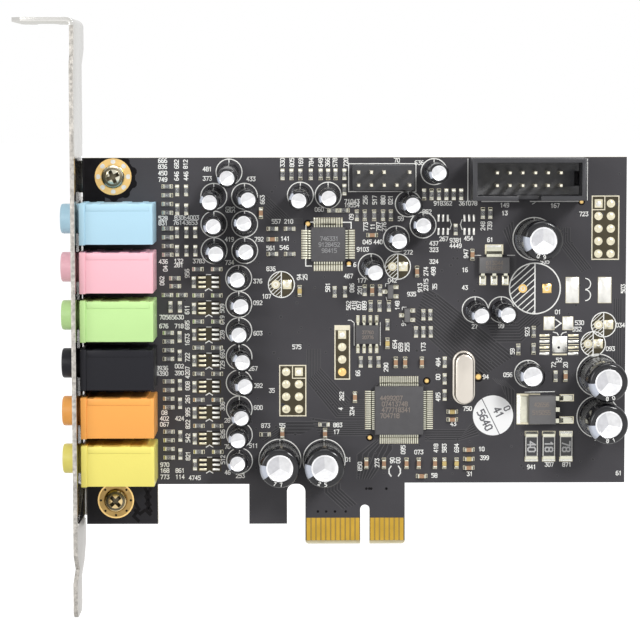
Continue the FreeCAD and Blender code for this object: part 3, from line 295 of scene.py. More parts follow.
looks = {
    "maskOverCopper": dict(colour=(0.050, 0.048, 0.053), rough=0.45, shine=0.22, spread=0.38, blotch=55,
                           depth=0.2),
    "maskOverGap": dict(colour=(0.018, 0.017, 0.020), rough=0.5, shine=0.15, spread=0.3),
    "maskOverLine": dict(colour=(0.068, 0.066, 0.070), rough=0.4, shine=0.28, spread=0.2),
    "maskOverFill": dict(colour=(0.035, 0.034, 0.037), rough=0.46, shine=0.2, spread=0.3),
    "maskDark": dict(colour=(0.008, 0.007, 0.008), rough=0.34, shine=0.07, spread=0.8, blotch=420,
                     depth=0.6),
    "boardPrint": dict(colour=(0.82, 0.82, 0.79), rough=0.62, spread=0.14, blotch=1400, depth=0.3),
    "printCream": dict(colour=(0.80, 0.74, 0.57), rough=0.6, spread=0.12, blotch=1400, depth=0.3),
    "platedGold": dict(colour=(0.82, 0.56, 0.22), rough=0.3, metal=1.0, spread=0.22, blotch=700, depth=0.5),
    # a darker gold: on the lower screw's ring it is painted shade
    "ringDarkGold": dict(colour=(0.36, 0.235, 0.085), rough=0.3, metal=1.0, spread=0.45, blotch=500,
                       depth=0.6),
    "contactGold": dict(colour=(0.50, 0.31, 0.045), rough=0.36, metal=0.95, spread=0.2, blotch=420),
    "contactGap": dict(colour=(0.30, 0.20, 0.05), rough=0.45, metal=0.6, spread=0.25),
    "padTin": dict(colour=(0.68, 0.63, 0.47), rough=0.34, metal=0.9, spread=0.2, blotch=1500, depth=0.8),
    "padBright": dict(colour=(0.73, 0.72, 0.68), rough=0.38, metal=0.85, spread=0.24, blotch=600, depth=0.9),
    "solder": dict(colour=(0.70, 0.70, 0.66), rough=0.24, metal=1.0, spread=0.22, blotch=1500, depth=0.9),
    "leadTin": dict(colour=(0.62, 0.61, 0.50), rough=0.3, metal=1.0, spread=0.18, blotch=1500),
    "canTop": dict(colour=(0.76, 0.76, 0.77), rough=0.34, metal=1.0, spread=0.2, blotch=1100, depth=1.0),
    # grey copies of the can top for its sectors: painted reflection
    "canTopReflectMid": dict(colour=(0.62, 0.62, 0.63), rough=0.34, metal=1.0, spread=0.2, blotch=1100, depth=1.0),
    "canTopReflectDim": dict(colour=(0.51, 0.51, 0.53), rough=0.34, metal=1.0, spread=0.2, blotch=1100, depth=1.0),
    "canSleeve": dict(colour=(0.006, 0.006, 0.008), rough=0.13, shine=0.3, spread=0.2, coat=0.35),
    "canStripe": dict(colour=(0.46, 0.49, 0.56), rough=0.28, spread=0.12, coat=0.4),
    # the stripe down the sleeve's side, a darker copy of the stripe on the fold: painted shade
    "canStripeShade": dict(colour=(0.16, 0.17, 0.20), rough=0.2, spread=0.25, coat=0.6),
    "chipPlastic": dict(colour=(0.138, 0.135, 0.136), rough=0.55, shine=0.4, spread=0.14, blotch=700,
                        depth=0.5),
    "chipPlasticDark": dict(colour=(0.082, 0.080, 0.084), rough=0.55, shine=0.32, spread=0.16, blotch=700,
                            depth=0.5),
    "chipMark": dict(colour=(0.205, 0.172, 0.148), rough=0.6, spread=0.25, blotch=2000),
    "chipMarkPale": dict(colour=(0.235, 0.235, 0.24), rough=0.6, spread=0.25, blotch=2000),
    "alumina": dict(colour=(0.60, 0.59, 0.56), rough=0.5, spread=0.1),
    "resistorGlaze": dict(colour=(0.030, 0.030, 0.032), rough=0.3, spread=0.3),
    "resistorMark": dict(colour=(0.42, 0.42, 0.42), rough=0.5, spread=0.15),
    "ceramicTan": dict(colour=(0.36, 0.21, 0.12), rough=0.36, spread=0.35, blotch=260),
    "ceramicYellow": dict(colour=(0.52, 0.40, 0.15), rough=0.36, spread=0.3, blotch=400),
    "bracketSteel": dict(colour=(0.61, 0.60, 0.575), rough=0.26, metal=1.0, spread=0.07, blotch=160,
                         depth=0.25),
    "bracketCut": dict(colour=(0.40, 0.38, 0.35), rough=0.5, metal=0.8, spread=0.85, blotch=1700, depth=1.0),
    # the tongue's side along the board, a darkened copy of the steel: painted shade
    "bracketTongue": dict(colour=(0.50, 0.485, 0.465), rough=0.5, metal=1.0, spread=0.12, blotch=260,
                          depth=0.4),
    # the tab's underside, a darker copy of the steel: painted shade
    "bracketShadeBelow": dict(colour=(0.52, 0.51, 0.47), rough=0.4, metal=1.0, spread=0.15, blotch=300),
    # the side along the board below the board's top, darkened: painted shade and painted reflection of the
    # board
    "bracketPaintedShade": dict(colour=(0.30, 0.275, 0.225), rough=0.15, metal=1.0, spread=0.12, blotch=120),
    "screwSteel": dict(colour=(0.66, 0.63, 0.50), rough=0.2, metal=1.0, spread=0.2, blotch=900, depth=0.5),
    "screwBrass": dict(colour=(0.66, 0.50, 0.25), rough=0.2, metal=1.0, spread=0.25, blotch=900, depth=0.5),
    # the steel inside the cross, darker: painted shade
    "screwRecessShade": dict(colour=(0.17, 0.145, 0.095), rough=0.5, metal=0.7, spread=0.5, blotch=900),
    "springSteel": dict(colour=(0.72, 0.70, 0.64), rough=0.3, metal=1.0, spread=0.1),
    "headerPlastic": dict(colour=(0.028, 0.028, 0.032), rough=0.42, spread=0.25, blotch=260, depth=0.5),
    "pinGold": dict(colour=(0.96, 0.90, 0.74), rough=0.25, metal=0.9, spread=0.06),
    "crystalSteel": dict(colour=(0.60, 0.555, 0.495), rough=0.32, metal=1.0, spread=0.09, blotch=160),
    "stickerPaper": dict(colour=(0.84, 0.84, 0.84), rough=0.7, spread=0.04, depth=0.25),
    "stickerInk": dict(colour=(0.10, 0.10, 0.11), rough=0.7, spread=0.1),
    "bareLaminate": dict(colour=(0.050, 0.040, 0.020), rough=0.5, shine=0.3, spread=0.4, blotch=900,
                         depth=0.4),
    # deep inside the jack's bore: painted shade
    "boreShade": dict(colour=(0.03, 0.03, 0.03), rough=0.5, spread=0.2),
}
jackColours = {
    "blue": (0.46, 0.70, 0.84), "pink": (0.94, 0.52, 0.59), "green": (0.55, 0.82, 0.34),
    "black": (0.012, 0.012, 0.016), "orange": (0.93, 0.41, 0.09), "yellow": (0.87, 0.77, 0.18),
}
surface = {name: makeFinish(name, look) for name, look in looks.items()}
for name, colour in jackColours.items():
    jackLook = {"colour": colour, "rough": 0.38, "spread": 0.04, "blotch": 120, "depth": 0.25,
                "shine": 0.2 if name == "black" else 0.4}
    surface[name] = makeFinish(name + "Plastic", jackLook)
print("finishes made:", len(surface))


laminateLook = {"weave": 900, "wander": 2, "skin": 0.000004, "dark": (0.58, 0.50, 0.30, 1),
                "pale": (0.80, 0.73, 0.52, 1)}


def boardFinish():      # the mask on both faces, bare laminate on every cut edge
    material = surface["maskOverCopper"].copy()
    material.name = "boardLaminate"
    tree = material.node_tree
    colour = tree.nodes["Principled BSDF"].inputs["Base Color"]
    mask = colour.links[0].from_socket
    place = addNode(tree, "TexCoord", output="Object")
    depth = addNode(tree, "Math", {0: addNode(tree, "SeparateXYZ", {0: place}, "Y")}, operation="ABSOLUTE")
    face = boardThick / 2000 - laminateLook["skin"]
    onFace = addNode(tree, "Math", {0: depth, 1: face}, operation="GREATER_THAN")
    bands = {"Vector": place, "Scale": laminateLook["weave"], "Distortion": laminateLook["wander"]}
    weave = addNode(tree, "TexWave", bands, "Fac", bands_direction="Y")
    laminate = mixed(tree, weave, laminateLook["dark"], laminateLook["pale"])
    feed(tree, colour, mixed(tree, onFace, laminate, mask))
    return material


def refinish(node, material):
    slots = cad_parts[node].data.materials
    slots.clear()
    slots.append(material)


refinish("circuit_board", boardFinish())
refinish("edge_contacts", surface["contactGold"])


# Where things are, as on the real board

canPlaces = {       # x, y, lean across, lean up, turn of the stripe in degrees
    "small": [(-25.55, 54.5, -0.1, 0.1, 180), (-25.55, 49.17, 0.6, 0.1, 175), (-25.55, 43.84, 0.2, -0.3, 200),
              (-25.55, 38.51, 0.9, -0.5, 150), (-25.55, 33.18, 1.4, 0.0, 185),
              (-25.55, 27.85, 0.6, -1.1, 190),
              (-25.55, 22.52, -0.1, -0.3, 170), (-25.55, 17.19, -0.2, 0.3, 200),
              (-27.4, 76.0, -0.2, -1.1, 195), (-30.5, 71.1, -0.6, -1.0, 160), (-24.3, 71.1, 0.9, -0.5, 185),
              (-30.5, 65.5, 0.1, -0.2, 195), (-24.3, 65.5, 0.0, 0.4, 175), (-30.5, 60.1, 0.6, -0.3, 160),
              (-24.3, 60.1, 0.4, 0.1, 190), (-13.0, 71.3, -0.3, -0.9, 150), (-7.4, 71.3, 0.1, -0.4, 185),
              (14.0, 76.0, 0.7, -0.1, 195), (8.8, 69.5, 0.7, 0.0, 190), (11.8, 65.2, -0.2, 0.2, 175),
              (6.4, 62.4, 0.4, -0.1, 165), (1.3, 56.8, 0.7, -0.8, 170), (22.4, 48.0, 0.9, -0.7, 180),
              (27.7, 48.0, 0.9, -0.5, 170)],
    "medium": [(33.2, 34.9, 0.4, 0.2, 180)],
    "large": [(34.3, 62.4, 0.9, 0.2, 190), (47.4, 34.6, 0.9, -0.3, 205), (47.5, 26.1, 0.9, -0.2, 205),
              (-17.3, 17.3, 0.1, -0.1, 192), (-8.3, 17.3, 0.1, -0.1, 190)],
}
channels = [53.7 - index * 5.33 for index in range(8)]
filterRows = [start - step * 1.77 for start in (73.1, 64.6, 43.4, 33.5, 23.2) for step in range(4)]
partPlaces = {      # upright parts, then level ones
    "jack_filter_parts": (
        [(-37.9, 72.3), (-37.9, 68.5), (-38.0, 63.8), (-38.0, 60.1), (-36.1, 72.3), (-36.1, 68.5),
         (-36.1, 63.8), (-36.1, 60.1), (-34.3, 63.8), (-34.3, 60.1), (-39.4, 48.7), (-37.5, 48.7),
         (-37.6, 42.6), (-37.6, 38.8), (-37.6, 32.8), (-37.6, 29.0), (-37.6, 22.3), (-37.6, 18.6)],
        [(-39.9, level) for level in filterRows]
        + [(-38.5, 54.5), (-38.4, 52.9), (-40.0, 51.1), (-37.1, 51.1)]),
    "channel_parts": (
        [(-34.65, level) for level in channels],
        [(side, level + 2.66) for side in (-33.8, -30.0) for level in channels]),
    "upper_resistors": (
        [(column, 75.5) for column in (-16.6, -14.8, -13.0, -10.9, -8.9, -7.4, -5.9, -4.1)]
        + [(column, 67.2) for column in (-1.6, 0.0, 1.9, 3.7, 5.3)] + [(-4.1, 72.4)]
        + [(12.0 + 1.5 * column, 71.4) for column in range(6)] + [(18.4, 64.3), (23.9, 67.6), (25.4, 67.6)],
        [(-6.4, 68.2), (-4.2, 68.2), (-18.7, 64.5), (-15.2, 64.5), (-18.7, 59.4), (-15.2, 59.4)]),
    "middle_resistors": (
        [(-6.1, 51.7), (-4.0, 51.7), (0.0, 52.0), (3.1, 52.0), (1.2, 48.8), (3.0, 48.8), (4.9, 48.8),
         (11.9, 47.0), (13.3, 47.0), (10.4, 43.5), (11.9, 43.5), (13.4, 43.5), (4.6, 45.0),
         (-0.8, 37.4), (1.1, 37.4), (2.8, 37.4), (16.25, 37.3), (16.25, 33.9), (16.25, 30.6)], []),
    "right_resistors": ([(34.3, 43.5), (34.3, 40.0), (31.2, 39.9), (38.8, 34.4)], []),
    "ceramic_capacitors": (
        [(-21.0, 67.7), (-13.2, 51.9), (1.5, 52.0), (10.6, 55.8), (21.8, 59.2), (4.6, 41.2), (-2.0, 30.2),
         (40.8, 34.4), (6.3, 37.3), (8.2, 37.3), (11.6, 37.3), (0.3, 16.6), (3.9, 16.6), (8.5, 16.6),
         (11.0, 16.6), (14.3, 16.6), (16.2, 16.6), (18.7, 16.6)],
        [(1.5, 63.2), (-18.7, 62.4), (17.8, 27.2), (17.8, 25.6), (21.2, 19.4), (21.2, 17.5), (21.2, 15.7),
         (11.6, 14.0)]),
}


# Two-ended chip parts

chipPart = {"long": 1.6, "wide": 0.8, "cap": 0.3, "resistorHigh": 0.45, "ceramicHigh": 0.75, "solder": 0.3,
            "padThick": 0.04, "pad": 0.62, "glaze": 0.05, "number": 0.4}
partFinishes = ["alumina", "resistorGlaze", "leadTin", "solder", "padTin", "resistorMark", "ceramicYellow",
                "ceramicTan"]


def chipPartTemplate(high, ceramic):
    bm = bmesh.new()
    half, cap, wide, padThick = chipPart["long"] / 2, chipPart["cap"], chipPart["wide"], chipPart["padThick"]
    thick = high * 0.94
    inner = 2 * (half - cap)
    block(bm, (0, 0, thick / 2), (inner + 0.02, wide * 0.97, thick), finish=7 if ceramic else 0)
    if not ceramic:
        block(bm, (0, 0, thick), (inner * 0.94, wide * 0.9, chipPart["glaze"]), 0.02, finish=1)
    for side in (-1, 1):
        block(bm, (side * (half - cap / 2), 0, high / 2), (cap, wide, high), 0.05, finish=2)
        reach = chipPart["solder"]
        middle = (side * (half + reach / 2 - 0.02), 0, high * 0.3)
        for corner in block(bm, middle, (reach, wide * 0.9, high * 0.6), finish=3):     # sloping solder
            if corner.co.z > high * 0.5 and abs(corner.co.x) > half + 0.1:
                corner.co.z = padThick + 0.03
                corner.co.y *= 0.86
        block(bm, (side * (half + 0.04), 0, padThick / 2), (chipPart["pad"], wide * 1.02, padThick), finish=4)
    return asTemplate(bm)


paleCeramics = [(17.8, 27.2), (21.2, 17.5), (-13.2, 51.9), (4.6, 41.2), (16.2, 16.6), (18.7, 16.6)]
resistorTemplate = chipPartTemplate(chipPart["resistorHigh"], ceramic=False)
ceramicTemplate = chipPartTemplate(chipPart["ceramicHigh"], ceramic=True)
for name, (upright, level) in partPlaces.items():
    bm = bmesh.new()
    ceramic = name.startswith("ceramic")
    for places, turn in ((upright, quarterTurn), (level, 0)):
        for x, y in places:
            place = spot(x, y, 0, turn)
            stamp(bm, ceramicTemplate if ceramic else resistorTemplate, place)
            if not ceramic:
                top = Matrix.Translation((0, 0, chipPart["resistorHigh"] * 0.94 + 0.02))
                number(bm, 3, chipPart["number"], place @ top, finish=5)
            elif (x, y) in paleCeramics:
                high = chipPart["ceramicHigh"]
                block(bm, (x, y, high * 0.47), (0.83, 0.83, high * 0.95 + 0.02), finish=6)
    finishPiece(name + "_soldered", bm, partFinishes, [name])

bm = bmesh.new()        # four more, close above the two large cans
for x, y in ((-16.8, 22.75), (-8.1, 22.75)):
    stamp(bm, ceramicTemplate, spot(x, y, 0, quarterTurn))
    block(bm, (x, y, 0.36), (0.83, 0.83, 0.73), finish=8)
for x, y in ((-20.3, 22.6), (-8.3, 24.6)):
    stamp(bm, resistorTemplate, spot(x, y))
finishes = partFinishes[:7] + ["alumina", "ceramicTan"]      # pale beside the tan at both ends
finishPiece("parts_by_the_cans", bm, finishes)


# Power resistors

powerResistor = {"across": (33.96, 37.48, 41.0), "up": 20.05, "wide": 2.55, "tall": 5.3, "high": 0.6,
                 "cap": 0.7, "body": 0.54, "number": 1.5}
y, wide, tall, high, cap, body = (powerResistor[key] for key in ("up", "wide", "tall", "high", "cap", "body"))
bm = bmesh.new()
for x in powerResistor["across"]:
    block(bm, (x, y, body / 2), (wide * 0.98, tall - 1.0, body), finish=0)
    block(bm, (x, y, body), (wide * 0.84, tall - 2 * cap - 0.1, 0.06), 0.02, finish=1)
    number(bm, 2, powerResistor["number"], spot(x, y, body + 0.02, -quarterTurn), finish=5)
    for side in (-1, 1):
        block(bm, (x, y + side * (tall - cap) / 2, high / 2), (wide, cap, high), 0.07, finish=2)
        corners = block(bm, (x, y + side * (tall / 2 + 0.18), 0.2), (wide * 0.98, 0.44, 0.4), finish=3)
        for corner in corners:
            if corner.co.z > 0.3 and abs(corner.co.y - y) > tall / 2 + 0.2:
                corner.co.z = 0.07
        block(bm, (x, y + side * (tall / 2), 0.02), (wide * 1.06, 0.95, 0.04), finish=4)
finishPiece("power_resistors_soldered", bm, partFinishes, ["power_resistors"])


# Cans

canLook = {
    "small": {"radius": 2.02, "high": 7.0, "rim": 0.63, "bead": 0.13, "vents": 2, "marks": 2, "leg": 0.8,
              "ring": 2.62},
    "medium": {"radius": 2.52, "high": 7.2, "rim": 0.66, "bead": 0.12, "vents": 2, "marks": 2, "leg": 1.0,
               "ring": 2.75},
    "large": {"radius": 4.0, "high": 11.5, "rim": 0.60, "bead": 0.08, "vents": 3, "marks": 3, "leg": 1.75,
              "ring": 4.3},
}
canFinishes = ["canSleeve", "canTop", "canStripe", "canSleeve", "boardPrint", "canStripeShade", "canTopReflectMid",
               "canTopReflectDim"]
canStripe = math.radians(52)
ventCut = {"turn": 0.35, "wide": 0.11, "deep": 0.07}


def canTemplate(look):
    radius, high, rim, bead = look["radius"], look["high"], look["rim"], look["bead"]
    shoulder = 0.07 * high
    sunk = high - 0.12
    bm = turned([
        (0, 0.3), (radius * 0.7, 0.3), (radius * 0.78, 0.02), (radius - 0.25, 0), (radius - 0.05, 0.12),
        (radius, 0.3), (radius, high * 0.10), (radius * 0.93, high * 0.135), (radius * 0.93, high * 0.155),
        (radius, high * 0.19), (radius, high - shoulder), (radius * 0.975, high - shoulder * 0.45),
        (radius * 0.90, high - shoulder * 0.1), (radius * 0.84, high),
        (radius * (rim + bead + 0.02), high - 0.02), (radius * (rim + bead), high - 0.08),
        (radius * (rim + bead * 0.75), high - 0.02),
        (radius * (rim + bead * 0.3), high - 0.04), (radius * rim, sunk), (radius * 0.45, sunk), (0, sunk)])
    for face in bm.faces:
        middle = face.calc_center_median()
        reach, turn = middle.xy.length, math.atan2(middle.y, middle.x)
        if reach < radius * (rim + bead) and middle.z > high / 2:       # the top's sectors take three greys: painted reflection
            sector = int(((turn - 0.39) % fullTurn) / fullTurn * look["vents"])
            face.material_index = (1, 6, 7)[sector] if reach < radius * rim else 1
        elif abs(turn) < canStripe / 2 and middle.z > 0.25:
            # the stripe is darker down the side than on the fold: painted shade
            face.material_index = 2 if middle.z > high - shoulder else 5
    cutVents(bm, look["vents"], radius * rim * 0.72, sunk)
    for index in range(look["marks"]):
        level = high - shoulder - 0.35 - index * (high * 0.27)
        block(bm, (radius - 0.01, 0, level), (0.05, radius * 0.26, 0.32), finish=3)
    return asTemplate(bm)


def cutVents(bm, count, reach, level):      # V grooves from the centre, each along an edge of the turned top
    step = fullTurn / roundSides
    angles = [round((index * fullTurn / count + ventCut["turn"]) / step) * step for index in range(count)]

    def onVent(corner, slack):
        if abs(corner.co.z - level) > 0.02:
            return False
        apart = [abs((math.atan2(corner.co.y, corner.co.x) - angle + math.pi) % fullTurn - math.pi)
                 for angle in angles]
        return corner.co.xy.length < 1e-3 or min(apart) < slack

    edges = [edge for edge in bm.edges if all(onVent(corner, 0.01) for corner in edge.verts)]
    roundEdges(bm, edges, ventCut["wide"], 2)
    for corner in bm.verts:
        if onVent(corner, 0.004) and corner.co.xy.length < reach:
            corner.co.z -= ventCut["deep"]


def canPlace(x, y, leanAcross, leanUp, stripe, look):
    high = look["high"]
    tilt = math.hypot(leanAcross, leanUp) / high
    away = Vector((leanAcross / high, leanUp / high, math.sqrt(1 - tilt * tilt)))
    leaning = Vector((0, 0, 1)).rotation_difference(away).to_matrix().to_4x4()
    place = Matrix.Translation((x, y, look["radius"] * tilt))
    return place @ leaning @ Matrix.Rotation(math.radians(stripe), 4, "Z")


for kind, look in canLook.items():
    template = canTemplate(look)
    bm = bmesh.new()
    for x, y, leanAcross, leanUp, stripe in canPlaces[kind]:
        place = canPlace(x, y, leanAcross, leanUp, stripe, look)
        stamp(bm, template, place)
        for index in range(3):      # the sleeve's own numbers, up its side
            turn = math.radians(62 + 33 * index)
            onSide = place @ spot(0, 0, 0, turn) @ spot(look["radius"] - 0.01, 0, look["high"] * 0.55)
            onSide @= Matrix.Rotation(quarterTurn, 4, "Y") @ Matrix.Rotation(math.pi, 4, "Z")
            number(bm, 3, look["radius"] * 0.36, onSide, finish=4)
        if kind == "large":     # two on the sleeve's fold as well
            for turn in (1.05, 1.45):
                onFold = spot(0, 0, 0, turn) @ spot(3.22, 0, look["high"] - 0.03, quarterTurn)
                number(bm, 1, 0.7, place @ onFold, finish=4)
    finishPiece(kind + "_cans", bm, canFinishes, [kind + "_capacitors"], angle=40)


# Chips and their leads

chips = {
    "controller": {"place": (6.95, 27.55), "size": (10.0, 10.0, 1.5), "dimple": (-4.1, -4.1, 0.45)},
    "codec": {"place": (-7.4, 61.35), "size": (7.0, 7.0, 1.4), "dimple": (-2.7, 2.7, 0.4)},
    "memory": {"place": (0.5, 43.05), "size": (4.9, 3.9, 1.5), "dimple": (-1.8, -1.3, 0.3)},
    "regulator": {"place": (26.2, 57.1), "size": (6.3, 3.4, 1.6), "dimple": None},
    "power_regulator": {"place": (36.0, 27.7), "size": (5.6, 6.0, 2.2), "dimple": (1.7, 0.3, 0.8)},
}
chipShape = {"standoff": 0.1, "draft": 0.13, "edge": 0.07}


def chipBody(place, size, dimple):
    wide, tall, high = size
    draft, low = chipShape["draft"], chipShape["standoff"]
    bm = bmesh.new()
    base = spot(*place, low) @ Matrix.Diagonal((wide - 2 * draft, tall - 2 * draft, 1, 1))
    bmesh.ops.create_grid(bm, x_segments=1, y_segments=1, size=0.5, matrix=base)
    layer = list(bm.faces)
    for grow in (1, -1):
        corners, layer = raised(bm, layer, (high - low) / 2)
        factor = (1 + grow * 2 * draft / wide, 1 + grow * 2 * draft / tall, 1)
        bmesh.ops.scale(bm, vec=factor, space=spot(-place[0], -place[1]), verts=corners)
    roundEdges(bm, dict.fromkeys(edge for face in layer for edge in face.edges), chipShape["edge"], 2)
    closeHoles(bm)
    bmesh.ops.recalc_face_normals(bm, faces=bm.faces)
    if dimple:
        across, up, radius = dimple
        cutter = bmesh.new()
        disc(cutter, place[0] + across, place[1] + up, high - 0.06, high + 0.2, radius, 24)
        bm = carve(bm, cutter)
    return bm


def bentLead(reach, high, thick, wide, instep):     # a strip from the body's side, bent down to its foot
    bm = bmesh.new()
    shoulder = high / 2
    bends = [(-0.05, shoulder), (instep * 0.32, shoulder), (instep * 0.5, shoulder - thick * 0.5),
             (instep * 0.8, thick * 1.4), (instep, thick * 0.62), (reach, thick * 0.5)]
    corners = [bm.verts.new((x, -wide / 2, z)) for x, z in bends]
    edges = [bm.edges.new(pair) for pair in zip(corners, corners[1:])]
    strip = bmesh.ops.extrude_edge_only(bm, edges=edges)["geom"]
    moved = [part for part in strip if isinstance(part, bmesh.types.BMVert)]
    bmesh.ops.translate(bm, vec=(0, wide, 0), verts=moved)
    bmesh.ops.solidify(bm, geom=list(bm.faces), thickness=thick)
    top = max(corner.co.z for corner in bm.verts)
    bmesh.ops.translate(bm, vec=(0, 0, shoulder + thick / 2 - top), verts=bm.verts)
    low = min(corner.co.z for corner in bm.verts)
    for corner in bm.verts:
        corner.co.z = max(0.02, corner.co.z - low * max(0, 1 - corner.co.z / shoulder))
    return bm


def leadTemplate(reach, high, thick, wide, instep, padLong, padWide):      # finishes: lead, solder, pad
    bm = bentLead(reach, high, thick, wide, instep)
    foot = (instep + reach) / 2
    block(bm, (foot, 0, 0.02), (padLong, padWide, 0.04), finish=2)
    corners = block(bm, (foot + 0.02, 0, 0.07), (padLong * 0.86, padWide * 0.86, 0.1), finish=1)
    for corner in corners:
        if corner.co.z > 0.07:
            corner.co.x = foot + (corner.co.x - foot) * 0.8
            corner.co.y *= 0.6
    return asTemplate(bm)


def leadRow(bm, template, start, step, count, turn):
    for index in range(count):
        stamp(bm, template, spot(start[0] + step[0] * index, start[1] + step[1] * index, 0, turn))


def fourSides(bm, template, chip, pitch, count):
    x, y = chip["place"]
    half = chip["size"][0] / 2
    span = pitch * (count - 1) / 2
    leadRow(bm, template, (x + half, y - span), (0, pitch), count, 0)
    leadRow(bm, template, (x - half, y - span), (0, pitch), count, math.pi)
    leadRow(bm, template, (x - span, y + half), (pitch, 0), count, quarterTurn)
    leadRow(bm, template, (x - span, y - half), (pitch, 0), count, -quarterTurn)


def finishLeads(bm, chip, ending):
    finishPiece(chip + ending, bm, ["leadTin", "solder", "padTin"], [chip + "_leads"])


for name, chip in chips.items():
    body = chipBody(chip["place"], chip["size"], chip["dimple"])
    plastic = "chipPlastic" if "regulator" in name else "chipPlasticDark"
    finishPiece(name + "_body", body, [plastic], [name + "_chip"], angle=30)

leads = {       # reach, height, thickness, width, instep, length and width of the pad
    "controller": (1.7, 1.5, 0.12, 0.19, 0.75, 1.35, 0.22),
    "codec": (1.7, 1.4, 0.12, 0.27, 0.75, 1.35, 0.34),
    "memory": (1.5, 1.5, 0.2, 0.45, 0.8, 1.5, 0.66),
    "regulatorLeg": (1.9, 1.6, 0.25, 0.75, 1.0, 1.9, 1.35),
    "regulatorTab": (1.9, 1.6, 0.25, 3.1, 1.0, 2.0, 3.7),
    "powerLeg": (3.3, 2.2, 0.5, 0.9, 1.3, 2.9, 1.45),
    "transistor": (0.65, 1.0, 0.12, 0.42, 0.35, 0.95, 0.8),
}
lead = {name: leadTemplate(*sizes) for name, sizes in leads.items()}
for name, pitch, count in (("controller", 0.4, 20), ("codec", 0.5, 12)):
    bm = bmesh.new()
    fourSides(bm, lead[name], chips[name], pitch, count)
    finishLeads(bm, name, "_gull_leads")

bm = bmesh.new()
x, y = chips["memory"]["place"]
for side in (-1, 1):
    leadRow(bm, lead["memory"], (x - 1.905, y + side * 1.95), (1.27, 0), 4, side * quarterTurn)
finishLeads(bm, "memory", "_gull_leads")

bm = bmesh.new()
x, y = chips["regulator"]["place"]
leadRow(bm, lead["regulatorLeg"], (x - 2.3, y - 1.7), (2.3, 0), 3, -quarterTurn)
stamp(bm, lead["regulatorTab"], spot(x, y + 1.7, 0, quarterTurn))
finishLeads(bm, "regulator", "_legs")

bm = bmesh.new()
x, y = chips["power_regulator"]["place"]
leadRow(bm, lead["powerLeg"], (x + 2.8, y - 2.285), (0, 4.57), 2, 0)
block(bm, (x + 3.15, y, 1.1), (0.9, 0.9, 0.5), 0.05, finish=0)
block(bm, (x - 3.4, y, 0.25), (2.0, 5.4, 0.5), 0.12, 2, finish=0)
block(bm, (x - 2.7, y, 0.02), (4.8, 6.3, 0.04), finish=2)
for corner in block(bm, (x - 4.7, y, 0.14), (0.7, 5.9, 0.28), finish=1):
    if corner.co.z > 0.2 and corner.co.x < x - 4.7:
        corner.co.z = 0.06
finishLeads(bm, "power_regulator", "_legs")

bodies, legs = bmesh.new(), bmesh.new()
transistors = {"places": ((5.2, 51.7), (8.6, 46.9)), "size": (1.3, 2.9, 1.0)}
transistorBody = asTemplate(chipBody((0, 0), transistors["size"], None))
for x, y in transistors["places"]:
    stamp(bodies, transistorBody, spot(x, y))
    leadRow(legs, lead["transistor"], (x + 0.65, y - 0.95), (0, 1.9), 2, 0)
    stamp(legs, lead["transistor"], spot(x - 0.65, y, 0, math.pi))
finishPiece("transistor_bodies", bodies, ["chipPlastic"], ["transistor_chips"], angle=30)
finishLeads(legs, "transistor", "_legs")

chipNumbers = {     # size, then where each row stands from the middle, and its digits
    "controller": (0.85, [(-1.6, 2.6, 7), (-0.9, 1.4, 8), (-0.6, 0.2, 9), (-1.9, -1.0, 6)]),
    "codec": (0.8, [(0.2, 1.2, 6), (0.2, 0, 7), (0.2, -1.2, 5)]),
    "memory": (0.6, [(0.1, 0.5, 5), (0.1, -0.5, 5)]),
    "power_regulator": (0.8, [(-0.2, 1.1, 5), (-0.2, -0.5, 6)]),
    "regulator": (0.75, [(0, 0.5, 6), (0, -0.6, 6)]),
}
bm = bmesh.new()
for name, (size, rows) in chipNumbers.items():
    (x, y), high = chips[name]["place"], chips[name]["size"][2] - 0.002
    for across, up, places in rows:
        number(bm, places, size, spot(x + across, y + up, high), finish=int(name == "codec"))
finishPiece("chip_numbers", bm, ["chipMark", "chipMarkPale"])
print("chips done")


# Jacks

jack = {"first": 66.0, "pitch": 9.66, "left": -56.77, "right": -42.17, "wide": 8.3, "high": 12.0,
        "collar": 1.2, "step": 0.15, "edge": 0.14, "ledge": 1.35, "ledgeRise": 0.11,
        "noseUp": 0.93, "noseHigh": 6.0, "noseRadius": 3.0, "noseEnd": -60.82, "bore": 1.85,
        "boreEnd": -45.32}


def jackHousing(middle):
    bm = bmesh.new()
    half = jack["wide"] / 2 - jack["step"]
    left, right, top = jack["left"] + jack["collar"], jack["right"], jack["high"] - jack["step"]
    block(bm, ((left + right) / 2, middle, top / 2), (right - left, 2 * half, top))
    ledge = middle + half - jack["ledge"]
    cuts = (((0, ledge, 0), (0, 1, 0)), ((left + 0.2, 0, 0), (1, 0, 0)), ((right - 0.7, 0, 0), (1, 0, 0)))
    for point, normal in cuts:
        sliceAt(bm, point, normal)
    for face in bm.faces[:]:
        centre = face.calc_center_median()
        if centre.z > top - 0.01 and centre.y > ledge and left + 0.2 < centre.x < right - 0.7:
            raised(bm, [face], jack["ledgeRise"])
    inner = [face for face in bm.faces if sum(len(edge.link_faces) > 2 for edge in face.edges) > 2]
    bmesh.ops.delete(bm, geom=inner, context="FACES_ONLY")
    sharp = [edge for edge in bm.edges if len(edge.link_faces) == 2 and edge.calc_face_angle() > 1]
    roundEdges(bm, sharp, jack["edge"] / 2, 2)
    block(bm, (jack["left"] + jack["collar"] / 2, middle, jack["high"] / 2),
          (jack["collar"], jack["wide"], jack["high"]), jack["edge"], 2)
    for x, wide in ((left + 2.2, 1.5), (left + 7.6, 1.9), (right - 2.0, 1.2)):       # ribs on the upper wall
        block(bm, (x, middle + half + 0.04, top / 2 - 0.15), (wide, 0.14, top - 0.3), 0.05)
    block(bm, (right - 0.35, middle, top / 2 - 0.1), (0.3, 2 * half + 0.1, top - 0.1), 0.05)
    return bm


